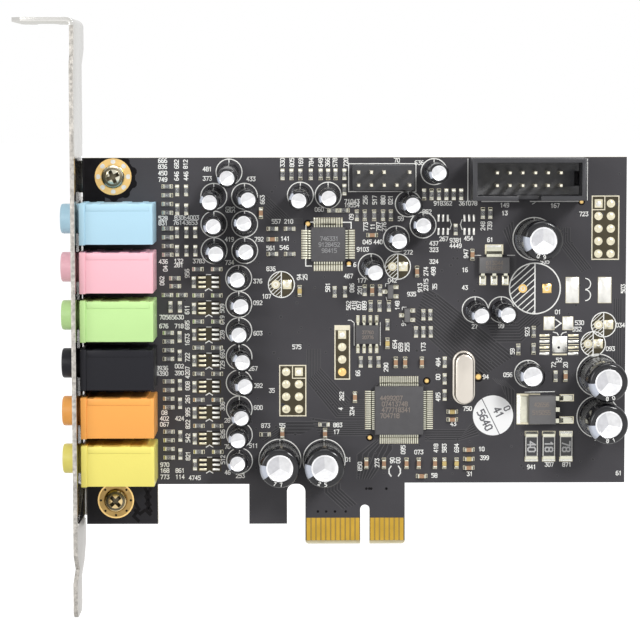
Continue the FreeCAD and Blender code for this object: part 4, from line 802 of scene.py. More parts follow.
def jackNose(middle):
    start, end = jack["left"] + 0.3, jack["noseEnd"]
    radius, bore = jack["noseRadius"], jack["bore"]
    long = start - end
    deep = start - jack["boreEnd"]
    bm = turned([(0, deep - 0.4), (radius * 0.8, deep - 0.4), (radius * 0.8, -0.02), (radius, 0.02),
                 (radius, long - 0.45), (radius - 0.12, long - 0.15), (radius - 0.45, long),
                 (bore + 0.3, long), (bore, long - 0.25), (bore, long - 1.6), (bore - 0.12, long - 1.7),
                 (bore - 0.12, long - 2.6), (bore, long - 2.7), (bore, deep), (0, deep)])
    # deep in the bore the faces are near black, painted shade; nearer the mouth is the spring steel contact
    for face in bm.faces:
        centre = face.calc_center_median()
        if centre.z < long - 1.5 and centre.xy.length < bore + 0.02:
            face.material_index = 1 if centre.z > long - 2.72 else 2
    along = Matrix.Translation((start, middle + jack["noseUp"], jack["noseHigh"]))
    bmesh.ops.transform(bm, matrix=along @ Matrix.Rotation(-quarterTurn, 4, "Y"), verts=bm.verts)
    return bm


springs = {"left": (-50.17, -47.97, -45.77), "wide": 1.1, "thick": 0.3, "high": 3.6}
jackMiddles = [jack["first"] - index * jack["pitch"] for index in range(len(jackColours))]
wide, thick, high = springs["wide"], springs["thick"], springs["high"]
tails = bmesh.new()
for colour, middle in zip(jackColours, jackMiddles):
    bm = jackHousing(middle)
    nose = asTemplate(jackNose(middle))
    bm.from_mesh(nose)
    bpy.data.meshes.remove(nose)
    finishes = [colour, "springSteel", "boreShade"]
    finishPiece(colour + "_jack_housing", bm, finishes, [colour + "_jack"])
    y = middle - jack["wide"] / 2 + jack["step"] - thick / 2
    for left in springs["left"]:
        x = left + wide / 2
        block(tails, (x, y, high / 2), (wide, thick, high), 0.06)
        block(tails, (x, y, high + 0.05), (wide * 0.7, thick * 0.8, 0.5), 0.05)
finishPiece("jack_spring_tails", tails, ["springSteel"], ["jack_springs"])
print("jacks done")


# Bracket screws

screw = {"across": -50.82, "upper": 75.1, "lower": 9.1, "head": 2.4, "high": 1.7, "shank": 1.45, "end": -3.63,
         "slotDeep": 1.15, "slotLong": 3.3, "slotWide": 0.82}


def slotCutter(long, wide):      # one arm of the cross, narrower at its bottom
    bm = bmesh.new()
    middle = screw["high"] - screw["slotDeep"] / 2 + 0.1
    for corner in block(bm, (0, 0, middle), (long, wide, screw["slotDeep"] + 0.2)):
        if corner.co.z < middle:
            corner.co.x *= 0.45 if long > wide else 0.75
            corner.co.y *= 0.45 if wide > long else 0.75
    return bm


def screwShape():
    head, high, shank, end = screw["head"], screw["high"], screw["shank"], screw["end"]
    profile = [(0, end), (shank - 0.4, end), (shank, end + 0.35)]
    level = end + 0.55
    while level < -boardThick - 0.3:
        profile += [(shank, level), (shank - 0.22, level + 0.2)]
        level += 0.4
    profile += [(shank, -boardThick), (shank, 0), (head - 0.1, 0), (head, 0.12), (head, 0.45),
                (head - 0.12, 0.85), (head - 0.45, 1.22), (head - 0.95, 1.5), (head - 1.5, 1.64), (0, high)]
    return turned(profile)


long, wide = screw["slotLong"], screw["slotWide"]
bm = carve(carve(screwShape(), slotCutter(long, wide)), slotCutter(wide, long))
for face in bm.faces:       # inside the cross the steel is painted darker: painted shade
    centre = face.calc_center_median()
    if centre.xy.length < 1.75 and 0.2 < centre.z < 1.45:
        face.material_index = 1
screwTemplate = asTemplate(bm)
for side, turn in (("upper", 0.45), ("lower", 0.75)):
    bm = bmesh.new()
    stamp(bm, screwTemplate, spot(screw["across"], screw[side], 0, turn))
    finishes = ["screwSteel" if side == "upper" else "screwBrass", "screwRecessShade"]
    finishPiece(side + "_cross_screw", bm, finishes, [side + "_bracket_screw"], angle=32)


# Header pins

header = {"place": (32.65, 74.65), "pins": (6, 2), "tip": 7.6}
plainHeader = {"place": (3.75, 74.8), "pins": (5, 2), "missing": (3, 1), "tip": 8.5}
pinLook = {"thick": 0.64, "point": 0.6, "narrow": 0.72}


def headerPin(bm, x, y, low, tip):
    thick, neck = pinLook["thick"], tip - pinLook["point"]
    block(bm, (x, y, (low + neck) / 2), (thick, thick, neck - low))
    for corner in block(bm, (x, y, tip - 0.33), (thick, thick, 0.62)):
        if corner.co.z > tip - 0.3:
            corner.co.x = x + (corner.co.x - x) * pinLook["narrow"]
            corner.co.y = y + (corner.co.y - y) * pinLook["narrow"]


def pinGrid(look):
    (x, y), (across, up) = look["place"], look["pins"]
    for column in range(across):
        for row in range(up):
            if (column, row) != look.get("missing"):
                yield x + (column - (across - 1) / 2) * pinPitch, y + (row - (up - 1) / 2) * pinPitch


for name, look in (("box_header", header), ("pin_header", plainHeader)):
    node = name + "_pins"
    low = -(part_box(node)[1].y - boardLow.y) * 1000
    bm = bmesh.new()
    for x, y in pinGrid(look):
        headerPin(bm, x, y, low, look["tip"])
    finishPiece(name + "_gold_pins", bm, ["pinGold"], [node])


# Crystal

crystal = {"place": (20.1, 34.2), "long": 11.05, "wide": 4.65, "flange": 0.5, "high": 3.5, "step": 0.42,
           "sides": 32}


def stadium(long, wide, levels):        # a loop pulled up through (inset, height) levels, then closed
    bm = bmesh.new()
    reach, radius = (long - wide) / 2, wide / 2 - levels[0][0]
    start = spot(0, 0, levels[0][1], fullTurn / crystal["sides"] / 2)
    bmesh.ops.create_circle(bm, segments=crystal["sides"], radius=radius, matrix=start)
    for corner in bm.verts:
        corner.co.y += math.copysign(reach, corner.co.y)
    edges = bm.edges[:]
    for inset, level in levels[1:]:
        made = bmesh.ops.extrude_edge_only(bm, edges=edges)["geom"]
        corners = {part for part in made if isinstance(part, bmesh.types.BMVert)}
        edges = [edge for edge in bm.edges if corners.issuperset(edge.verts)]
        grow = (wide / 2 - inset) / radius
        radius *= grow
        for corner in corners:
            middle = math.copysign(reach, corner.co.y)
            corner.co = (corner.co.x * grow, middle + (corner.co.y - middle) * grow, level)
    closeHoles(bm)
    return bm


step, flange, high = crystal["step"], crystal["flange"], crystal["high"]
bm = stadium(crystal["long"], crystal["wide"], [
    (0.04, 0), (0, 0.05), (0, flange - 0.08), (0.06, flange), (step - 0.1, flange), (step, flange + 0.1),
    (step, high - 0.42), (step + 0.07, high - 0.2), (step + 0.2, high - 0.06), (step + 0.42, high)])
bmesh.ops.translate(bm, vec=(*crystal["place"], 0), verts=bm.verts)
finishPiece("crystal_case", bm, ["crystalSteel"], ["crystal_base", "crystal_can"], angle=50)


# Sticker

sticker = {"place": (26.1, 26.4), "radius": 4.1, "thick": 0.08, "line": [(23.8, 29.9), (27.4, 22.6)],
           "numbers": [(-1.65, -0.95, 4, 1.45), (1.1, 0.65, 2, 1.45), (2.85, 1.45, 1, 1.2)]}
bm = bmesh.new()
(x, y), thick = sticker["place"], sticker["thick"]
disc(bm, x, y, 0.005, thick, sticker["radius"], 64)
line(bm, sticker["line"], 0.16, thick - 0.01, thick + 0.02, finish=1)
along = Vector(sticker["line"][1]) - Vector(sticker["line"][0])
for across, up, places, size in sticker["numbers"]:
    number(bm, places, size, spot(x + across, y + up, thick - 0.01, math.atan2(along.y, along.x)), finish=1)
finishPiece("round_paper_sticker", bm, ["stickerPaper", "stickerInk"], ["round_sticker"])


# Bracket and header mouldings, each the solid's own shape with its edges rounded

sheet = {"soften": 0.09, "left": -59.5, "right": -56.9, "inside": -57.9, "tongue": 6.0, "plain": 79.0,
         "fold": 105.2}
bm = softened("bracket", sheet["soften"], 2)
for level in ("tongue", "plain", "fold"):
    sliceAt(bm, (0, sheet[level], 0), (0, 1, 0))
bm.normal_update()
for face in bm.faces:       # the sheet's cut edge is rough; below the board's top its side along the board is darker, painted shade and painted reflection, and the tab's underside is darker, painted shade
    centre = face.calc_center_median()
    onPlate = sheet["left"] < centre.x < sheet["right"] and centre.y < sheet["fold"]
    if onPlate and abs(face.normal.x) < 0.5:
        face.material_index = 1
    # the tab's underside takes the darker copy: painted shade
    elif centre.x < sheet["left"] and face.normal.y < -0.8:
        face.material_index = 2
    # below the board's top the side along the board is a darker steel, painted shade and painted reflection;
    # lower, on the tongue, another darkened copy, painted shade
    elif onPlate and centre.y < sheet["plain"] and centre.x > sheet["inside"] and face.normal.x > 0.8:
        face.material_index = 3 if centre.y > sheet["tongue"] else 4
finishes = ["bracket" + part for part in ("Steel", "Cut", "ShadeBelow", "PaintedShade", "Tongue")]
finishPiece("bracket_sheet", bm, finishes, ["bracket"], 40)

bm = softened("box_header_shroud", 0.1, 2)
finishPiece("box_header_moulding", bm, ["headerPlastic"], ["box_header_shroud"], 40)

bm = softened("pin_header_base", 0.1)
x, y = plainHeader["place"]
for column in range(plainHeader["pins"][0] - 1):        # ribs between the pins
    for side in (-1, 1):
        block(bm, (x + (column - 1.5) * pinPitch, y + side * 2.36, 1.3), (0.5, 0.3, 2.2), 0.08)
finishPiece("pin_header_moulding", bm, ["headerPlastic"], ["pin_header_base"], 40)

contactGround = {"spans": ((-11.95, -1.05), (1.05, 7.95)), "up": 3.1, "tall": 4.62, "thick": 0.016}
bm = bmesh.new()
for left, right in contactGround["spans"]:      # darker gold between the contacts
    block(bm, ((left + right) / 2, contactGround["up"], 0.004),
          (right - left, contactGround["tall"], contactGround["thick"]))
finishPiece("contact_ground", bm, ["contactGap"])

# black strips out from the board's left edge: painted shade in the gap by the bracket
edgeGapShade = {"low": 13.0, "high": 78.9, "edge": -56.75, "long": (1.2, 4.0), "out": (0.22, 0.4)}
bm = bmesh.new()
level = edgeGapShade["low"]
while level < edgeGapShade["high"] - 0.4:     # black lengths stand out from the board's edge in short runs: painted shade
    long = min(dice.uniform(*edgeGapShade["long"]), edgeGapShade["high"] - level)
    out = dice.uniform(*edgeGapShade["out"])
    middle = (edgeGapShade["edge"] - out / 2, level + long / 2, -boardThick / 2)
    block(bm, middle, (out, long, boardThick * 0.9), 0.05)
    level += long
finishPiece("board_edge_gap_shade", bm, ["maskDark"])


# Pads: copper left bare on the board's face

padFinishes = ["platedGold", "padTin", "maskOverGap", "solder", "bareLaminate", "padBright", "maskDark",
               "ringDarkGold"]
gold, tin, gap, solder, laminate, bright, dark, darkGold = range(len(padFinishes))


def pad(x, y, wide, tall, high, finish, edge=0.0):
    block(bm, (x, y, high / 2), (wide, tall, high), edge, finish=finish)


def dotsRound(x, y, reach, radius, count, high, finish):
    for index in range(count):
        turn = index * fullTurn / count
        disc(bm, x + reach * math.sin(turn), y + reach * math.cos(turn), 0, high, radius, 10, finish)


bm = bmesh.new()
screwPad = {"outer": 3.72, "hole": 1.62, "rim": 0.3, "thick": 0.05, "dotReach": 3.05, "clear": 4.35,
            "lobes": (3.95, 0.95, 10)}
boardTop = 78.86
# The black disc with its lobes round the upper screw is copper-free ground, set off to the lower right as the
# screw's painted shadow.
x, y = screw["across"] + 0.12, screw["upper"] - 0.2
disc(bm, x, y, 0, 0.02, screwPad["clear"], 48, dark)
dotsRound(x, y, *screwPad["lobes"], 0.022, dark)
# painted shade left of the upper screw
pad(-54.6, 74.4, 4.2, 9.0, 0.018, dark)
# the jack's painted shadow over the foot by the lower screw
pad(-49.45, 8.5, 14.2, 8.2, 0.018, gap)
for blackStroke in ([(-44.8, 11.4), (-43.9, 9.8), (-44.6, 8.4), (-43.7, 6.9)],      # black strokes drawn on that painted shadow
             [(-43.8, 11.4), (-44.7, 9.9), (-43.9, 8.2), (-44.7, 7.0), (-43.9, 6.2)],
             [(-47.0, 8.7), (-46.2, 7.3), (-47.2, 5.8), (-46.3, 4.9)],
             [(-46.9, 7.0), (-45.9, 6.3), (-45.0, 7.0)]):
    line(bm, blackStroke, 0.62, 0, 0.022, dark)
sliceAt(bm, (0, boardTop, 0), (0, 1, 0), drop=True)
closeHoles(bm)
outer, thick = screwPad["outer"], screwPad["thick"]
# the lower ring and its dots are darker copies of the upper's gold and bright dots: painted shade
for side, metal, dots in (("upper", gold, (0.5, 8, 0.08, bright)), ("lower", darkGold, (0.24, 8, 0.08, dark))):
    x, y = screw["across"], screw[side]
    ring(bm, x, y, outer, screwPad["hole"], 0, thick, metal)
    ring(bm, x, y, outer - 0.02, outer - screwPad["rim"], 0, 0.09, gold)
    dotsRound(x, y, screwPad["dotReach"], *dots)

emptyCans = [       # x, y, radius of the place, reach of its pads
    (-16.9, 53.2, 2.64, 1.15), (6.7, 56.8, 2.57, 1.1), (34.5, 52.3, 5.15, 2.45), (48.5, 44.9, 2.49, 1.05),
    (46.4, 41.0, 2.49, 1.05)]
for x, y, radius, reach in emptyCans:
    large = radius > 5
    if not large:
        disc(bm, x, y, 0, 0.01, radius, 40, laminate)
    disc(bm, x - reach, y, 0, 0.04, 0.88, 28, gold if large else tin)
    pad(x + reach, y, 1.78, 1.85, 0.04, gold if large else tin, 0.01)
    for side in (-1, 1):
        ring(bm, x + side * reach, y, 0.5, 0.28, 0.03, 0.06, solder if large else bright)

padArrays = {       # the first row is the upper one, and its boxed pad is square
    "right": {"columns": (47.3, 49.8), "top": 69.5, "rows": 5, "square": 47.3, "low": (46.0, 58.2),
              "high": (51.4, 71.0)},
    "middle": {"columns": (-4.6,), "top": 42.98, "rows": 4, "square": -4.6, "golden": 3, "low": (-6.05, 33.9),
               "high": (-3.1, 44.8)},
    "left": {"columns": (-16.0, -13.4), "top": 35.4, "rows": 4, "square": -13.4, "low": (-17.3, 26.4),
             "high": (-12.0, 36.7)},
}
for look in padArrays.values():
    (left, low), (right, high) = look["low"], look["high"]
    pad((left + right) / 2, (low + high) / 2, right - left, high - low, 0.012, laminate)
    for column in look["columns"]:
        for row in range(look["rows"]):
            y = look["top"] - row * pinPitch
            if row == 0 and column == look["square"]:
                pad(column, y, 1.6, 1.7, 0.04, tin)
                disc(bm, column, y - 0.1, 0, 0.09, 0.6, 14, bright, top=0.4)
            else:
                metal = gold if row == look.get("golden") else tin
                disc(bm, column, y, 0, 0.04, 0.84, 24, metal)
                disc(bm, column - 0.05, y + 0.03, 0, 0.13, 0.62, 18, metal, top=0.3)

soldered = [((42.1, 48.65), 51.95, 2.54, 5.1, 0.18), ((37.42, 41.23), 45.2, 2.0, 2.55, 0.2)]
for columns, y, wide, tall, edge in soldered:       # pads for parts that were left off
    for x in columns:
        pad(x, y, wide + edge, tall + 0.2, 0.04, tin)
        block(bm, (x, y, 0.05), (wide, tall, 0.05), 0.02, finish=bright)
pad(39.6, 40.9, 2.95, 3.3, 0.06, bright, 0.02)
pad(39.6, 38.85, 2.95, 0.3, 0.04, tin)
disc(bm, 39.4, 40.25, 0.04, 0.08, 0.28, 9, gap)
for row in range(4):
    for x, long in ((36.5, 2.0), (42.35, 2.1)):
        y = 42.7 - row * 1.24
        pad(x, y, long, 0.52, 0.06, bright if row % 2 else tin, 0.02)
        if row < 3:
            pad(x + 0.08, y - 0.62, long, 0.16, 0.04, tin)

for level in channels:      # empty six-pad places between the channel parts
    pad(-31.65, level, 4.8, 2.8, 0.01, laminate)
    for x, metal in ((-33.0, tin), (-30.3, bright)):
        for row in (-0.95, 0, 0.95):
            pad(x, level + row, 1.48, 0.42, 0.06, metal, 0.02)
            pad(x, level + row + 0.475, 1.6, 0.26, 0.016, gap)
for y in (66.6, 63.9):
    for x in (14.9, 15.85, 16.8, 20.2, 21.15, 22.1):
        pad(x, y, 0.42, 1.4, 0.06, bright, 0.02)

testDots = [(12.6, 33.5, 0.46), (1.0, 21.9, 0.46), (-11.5, 65.5, 0.5), (-3.2, 57.4, 0.46), (23.1, 34.3, 0.62),
            (43.85, 69.85, 0.42)]
for x, y, radius in testDots:
    disc(bm, x, y, 0, 0.012, radius * 1.7, 20, dark)
    ring(bm, x, y, radius, radius * 0.6, 0, 0.02, darkGold)
    disc(bm, x, y, 0, 0.04, radius * 0.75, 18, gold)
finishPiece("bare_pads", bm, padFinishes, angle=50)


# Printed lines and rings

printLook = {"high": 0.035, "ring": 0.2, "frame": 0.22, "small": 0.8, "back": 1.3}


def drawn(points, width=0.16, finish=0, lift=0.0):
    line(bm, points, width, 0, printLook["high"] + lift, finish)


def frameOf(low, high, width, finish=0):
    (left, bottom), (right, top) = low, high
    drawn([(left, bottom), (right, bottom), (right, top), (left, top), (left, bottom)], width, finish)


def canRing(x, y, radius, width):
    ring(bm, x, y, radius + width / 2, radius - width / 2, 0, printLook["high"], sides=56)


def hatchedRing(x, y, radius, width, steps, thin):       # its left half is hatched
    canRing(x, y, radius, width)
    drawn([(x, y - radius), (x, y + radius)], width, lift=0.008)
    inner = radius - width / 2
    gap = 2.6 * inner / steps
    for index in range(-steps, steps + 1):
        shift = (index + 0.5) * gap
        ends = []
        for step in range(81):      # where this slanted line runs inside the half ring
            across = -inner + step * inner / 80
            height = across * 0.9 + shift
            if math.hypot(across, height) < inner:
                ends.append((x + across, y + height))
        if len(ends) > 4:
            drawn([ends[0], ends[-1]], width * thin, lift=0.004)


bm = bmesh.new()
for look in padArrays.values():
    frameOf(look["low"], look["high"], printLook["frame"], 1)
drawn([(46.2, 68.25), (48.55, 68.25), (48.55, 70.8)], 0.2, 1)
drawn([(-14.7, 36.5), (-14.7, 34.1), (-12.2, 34.1)], 0.2, 1)
block(bm, (-4.57, 44.35, printLook["high"] / 2), (2.9, 0.9, printLook["high"] - 0.006), finish=1)
for kind, look in canLook.items():
    for x, y, *lean in canPlaces[kind]:
        canRing(x, y, look["ring"], printLook["ring"])
        drawn([(x, y + look["ring"]), (x, y + look["ring"] - 0.9)], printLook["ring"], lift=0.004)
for x, y, radius, reach in emptyCans:
    hatchedRing(x, y, radius, *((0.26, 10, 0.75) if radius > 5 else (0.2, 8, 0.6)))

frameOf((-3.25, 72.0), (10.35, 77.62), 0.18)
strokes = [     # width, then the lines drawn with it
    (0.12, [[(22.0, 59.05), (23.5, 59.05)], [(28.9, 59.05), (30.4, 59.05)]]),
    (0.12, [[(x, y), (x + 0.6, y + 0.35)] for x, y in ((33.9, 69.4), (52.1, 51.5), (46.9, 21.2))]),
    (0.14, [[(45.0, 70.2), (45.0, 78.5)], [(-2.15, 45.4), (-2.8, 45.9), (-3.4, 45.9)]]),
    (0.14, [[(x, 40.8), (x, 45.4)] for x in (-2.15, 3.15)]),
    (0.16, [[(32.6, 31.15), (38.6, 31.25)]]),
    (0.16, [[(x, 66.3), (x - math.copysign(0.35, x - 18.4), 65.3), (x, 64.3)] for x in (17.2, 19.7)]),
    (0.18, [[(20.85, 70.0), (20.85, 78.5)]]),
    (0.2, [[(23.7, 69.95), (31.1, 69.95)], [(33.5, 69.95), (43.2, 69.95)]]),
    (0.22, [[(-4.5, 65.8), (-2.75, 65.8), (-2.75, 64.6)], [(-11.95, 58.4), (-11.95, 56.95), (-10.8, 56.95)]]),
    (0.22, [[(-11.9, 64.4), (-11.9, 65.2)], [(-10.0, 65.85), (-10.9, 65.85)]]),
    (0.22, [[(-3.5, 56.95), (-2.9, 56.95)]]),
    (0.24, [[(38.75, 46.0), (39.85, 45.2), (38.7, 44.3)]]),
]
for width, lines in strokes:
    for points in lines:
        drawn(points, width)
for x, y in transistors["places"]:
    drawn([(x - 1.0, y + 1.65), (x - 0.2, y + 1.65)], 0.13)
    drawn([(x - 1.0, y + 1.65), (x - 1.0, y + 1.1)], 0.13)
    drawn([(x - 0.9, y - 1.1), (x - 0.7, y - 1.75)], 0.13)
for level in channels:      # a dash above and an arrow below each six-pad place
    drawn([(-32.1, level + 1.55), (-31.2, level + 1.55)], 0.14)
    drawn([(-32.3, level - 1.7), (-31.65, level - 1.3), (-31.0, level - 1.7)], 0.2)
for side in (-1, 1):        # brackets round a number, and two small horns over the bare middle pad
    drawn([(6.1 + side * 0.75, 16.0), (6.1 + side * 1.15, 15.4), (6.1 + side * 1.15, 14.6),
           (6.1 + side * 0.75, 14.0)], 0.24)
    drawn([(39.6 + side * 1.3, 43.4), (39.6 + side * 0.55, 43.2), (39.6 + side * 0.3, 42.8)], 0.2)
for middle in (53.2, 50.9):     # two joined arcs between the long pads
    turns = [step / 6 for step in range(-9, 10, 2)]
    drawn([(44.75 + 1.05 * math.cos(turn), middle + 1.1 * math.sin(turn)) for turn in turns], 0.2)
finishPiece("printed_lines", bm, ["boardPrint", "printCream"])


# Printed numbers beside the parts: how many digits, places across, places up

levelNumbers = [
    (3, [-40.8], [78.3, 77.1, 75.8, 74.5, 66.7, 65.7, 57.9, 44.8, 25.9, 24.7, 16.4, 15.2, 13.9]),
    (3, [-37.7], [58.0, 57.2, 44.8, 36.6, 35.2, 25.9, 15.2, 13.9]), (4, [-41.2], [36.2, 35.1]),
    (2, [-40.8], [27.1]), (4, [-34.7], [13.7]), (4, [-33.6], [58.0]), (8, [-36.0], [66.8]),
    (8, [-36.3], [65.8]), (8, [-39.2], [46.6]), (3, [-31.8], [76.6, 74.7]), (3, [-23.0], [74.6]),
    (3, [-27.4], [57.7, 62.4]), (3, [-21.4], [62.4]), (3, [-21.7], [53.9, 49.5, 43.3, 32.6, 28.1]),
    (3, [-22.7], [36.1, 20.3]), (3, [-25.4], [14.1]), (2, [-28.0], [25.5, 20.1, 14.8]),
    (3, [-17.9, -15.4], [66.0]), (3, [-16.1], [62.5]), (3, [-19.0], [60.6, 56.4]), (3, [-16.3], [60.7]),
    (3, [-19.9], [50.8]), (2, [-18.9], [31.6]), (3, [-20.2], [24.4]), (2, [-16.8], [24.4]),
    (2, [6.5], [78.3]), (3, [11.0], [77.8]), (3, [-9.2], [68.4]), (5, [-2.6], [70.0, 69.3]),
    (2, [7.3], [66.5]), (3, [0.5, 2.7], [61.8]), (4, [-0.4], [60.3]), (3, [-0.6], [54.0]),
    (1, [-2.0], [57.2]), (3, [-3.3], [54.9]), (3, [8.8], [59.7]), (3, [5.6], [54.0]), (3, [9.5], [51.2]),
    (3, [-13.8], [40.5]), (6, [15.8, 20.9], [69.6]), (3, [12.6], [67.9]), (2, [25.4], [62.2]),
    (3, [28.3], [69.2]), (2, [28.3], [67.6]), (3, [38.5], [69.1]), (3, [44.3], [67.4]), (3, [16.0], [62.4]),
    (4, [18.4], [62.1, 61.0]), (3, [21.0], [62.5]), (3, [14.0], [61.5, 60.2, 57.8]), (3, [36.5], [57.8]),
    (2, [20.3], [56.1, 52.5]), (3, [-5.5], [24.5]), (2, [-5.8], [23.1]), (2, [-3.4], [17.4]),
    (3, [11.0], [18.9]), (3, [20.9], [27.8]), (2, [18.0], [24.7]), (2, [23.8], [19.5]), (3, [24.4], [17.7]),
    (2, [21.4], [14.4]), (2, [14.2], [14.1]), (2, [22.3], [44.6]), (2, [24.6], [34.3]), (2, [39.2], [47.5]),
    (2, [27.7], [44.7]), (3, [43.6], [45.3]), (3, [43.1], [44.0]), (3, [51.9], [44.8]), (3, [49.9], [40.0]),
    (3, [29.1], [34.7]), (2, [39.5], [37.7]), (3, [34.0], [15.8]), (3, [37.6, 41.2], [16.3]),
    (2, [51.8], [14.5])]
uprightNumbers = [
    (3, [-38.0, -36.2], [77.6]), (3, [-38.0, -36.1], [75.2]), (2, [-40.4], [56.5]), (3, [-36.0], [55.5]),
    (2, [-27.7, -26.7], [68.4]), (3, [-20.7], [70.4]), (3, [-41.1], [54.0]),
    (3, [-36.05], [48.1, 45.0, 38.4, 32.6, 29.9, 27.2, 24.7, 21.9, 18.2]), (4, [-36.05], [42.0, 35.3]),
    (3, [-28.95], [48.4, 46.0, 43.0, 39.1, 36.8, 28.4, 22.7, 17.4]),
    (3, [-16.6, -14.7, -12.9, -10.8, -8.9, -7.5, -6.0, -3.8], [77.9]), (2, [-2.7], [66.9]),
    (3, [0.2, 2.8, 3.9], [64.9]), (2, [1.6], [64.9]), (3, [0.1, 2.0, 3.7, 5.2], [70.3]),
    (3, [-7.5], [52.6]), (3, [-2.6], [52.5]), (3, [-1.0], [52.1]), (3, [11.2], [52.5]), (3, [12.4], [55.8]),
    (4, [12.4], [53.1]), (2, [-13.3, -12.1], [54.7]), (3, [20.5], [59.4]), (3, [23.9, 25.3], [65.0]),
    (3, [13.9], [55.8]), (2, [14.2], [52.7]), (3, [52.4], [52.2]), (3, [-4.7], [30.4]), (1, [-4.9], [27.8]),
    (3, [-3.3, -2.2, -1.2, -0.1, 6.6], [48.9]), (3, [6.1], [41.0]), (3, [7.3, 8.6, 11.9], [40.4]),
    (3, [4.3], [36.3]), (3, [14.9], [37.3, 30.2]), (2, [14.9], [34.3]), (3, [-2.6], [27.3]),
    (1, [7.9], [45.0]), (2, [-1.4], [35.1]), (3, [-1.0], [16.0]), (3, [2.5], [16.7]),
    (2, [5.6, 6.8], [17.2]), (3, [7.8], [19.4]), (3, [14.5, 16.2, 18.7], [19.7]), (3, [33.0], [43.5]),
    (2, [30.0], [39.5]), (2, [38.4, 40.8], [36.7])]
bm = bmesh.new()
for turn, groups in ((0, levelNumbers), (quarterTurn, uprightNumbers)):
    for places, columns, rows in groups:
        for x in columns:
            for y in rows:
                number(bm, places, printLook["small"], spot(x, y, 0, turn))
finishPiece("printed_numbers", bm, ["boardPrint"])


# Etched lines in bundles that run side by side, on darker ground

tracks = {"high": 0.012, "wide": 0.17, "ground": 0.006, "frontHoles": 260, "backHoles": 240}
bundles = [     # how many lines, the first one, the last one
    (16, [(12.4, 52.6), (15.0, 51.0), (30.5, 38.6)], [(9.5, 44.6), (12.0, 43.0), (22.3, 33.4)]),
    (10, [(-9.0, 40.0), (-9.0, 36.2), (-3.0, 29.6), (1.0, 29.6)],
     [(-11.8, 40.0), (-11.8, 33.4), (-5.9, 26.0), (1.0, 26.0)]),
    (8, [(-11.0, 26.0), (-6.0, 25.3), (1.0, 25.3)], [(-9.0, 22.0), (-6.0, 22.3), (1.0, 22.3)]),
    (6, [(41.6, 64.6), (41.6, 62.0), (46.0, 56.4)], [(39.2, 64.6), (39.2, 61.4), (43.8, 55.6)]),
    (5, [(50.4, 50.2), (50.4, 36.5)], [(52.2, 50.2), (52.2, 36.5)]),
    (6, [(-8.2, 12.4), (-8.2, 10.6), (-4.6, 7.2)], [(-5.0, 12.4), (-5.0, 11.4), (-1.6, 8.2)]),
    (8, [(-20.0, 71.4), (-15.0, 66.6), (-12.6, 66.6)], [(-20.0, 67.2), (-18.2, 65.6), (-12.6, 65.6)]),
    (6, [(12.3, 23.5), (20.6, 23.5), (22.0, 24.9)], [(12.3, 21.2), (19.0, 21.2), (23.2, 22.4)]),
    (7, [(2.2, 21.4), (-1.6, 18.4), (-1.6, 13.4)], [(5.6, 21.4), (5.6, 19.4), (1.4, 13.4)]),
    (5, [(28.0, 64.0), (29.6, 60.4), (29.6, 54.4)], [(30.0, 66.0), (30.6, 60.4), (30.6, 54.4)]),
    (8, [(24.5, 45.4), (31.0, 45.4), (34.0, 48.0)], [(26.5, 41.4), (31.8, 41.4), (35.8, 45.0)]),
    (6, [(30.5, 23.6), (30.5, 31.5), (28.5, 33.5)], [(28.0, 32.5), (27.0, 33.0), (26.0, 34.0)]),
    (5, [(-20.4, 22.2), (-16.0, 25.2), (-8.0, 25.2)], [(-20.4, 20.2), (-17.0, 22.6), (-13.0, 22.6)]),
]


def bundle(count, first, last, low):
    for index in range(count):
        share = index / (count - 1)
        points = [(a[0] + (b[0] - a[0]) * share, a[1] + (b[1] - a[1]) * share) for a, b in zip(first, last)]
        line(bm, points, tracks["wide"], low, low + tracks["high"])


bm = bmesh.new()
for count, first, last in bundles:
    for a, b, c, d in zip(first, first[1:], last, last[1:]):        # the darker ground under a bundle
        corners = [bm.verts.new((*point, tracks["ground"])) for point in (a, b, d, c)]
        bm.faces.new(corners).material_index = 1
    bundle(count, first, last, 0)
for level, row in ((6.7, (-9.6, -7.9, -6.1, -3.9)), (11.4, (0.9, 4.4, 0.3, 1.3, 4.4))):
    for x in row:
        disc(bm, x, level, 0, 0.02, 0.27, 9, 2)
for index in range(tracks["frontHoles"]):       # small plated holes under the mask
    x, y = dice.uniform(-41, 52), dice.uniform(13.5, 78)
    radius = dice.choice((0.17, 0.2, 0.26))
    disc(bm, x, y, 0, 0.014, radius + 0.1, 8, 0)
    disc(bm, x, y, 0, 0.02, radius, 8, 1)
finishPiece("etched_lines", bm, ["maskOverLine", "maskOverFill", "maskDark"])


# Solder side: every leg's end in its cone of solder, and the plated pads

def joint(x, y, radius, leg=0.28, reach=1.5):
    disc(bm, x, y, back - 0.05, back, radius, 16, 2)
    disc(bm, x, y, back - 0.75, back - 0.04, leg + 0.1, 12, 0, top=radius * 0.86)
    disc(bm, x, y, back - reach, back - 0.7, leg * 0.8, 8, 1, top=leg)


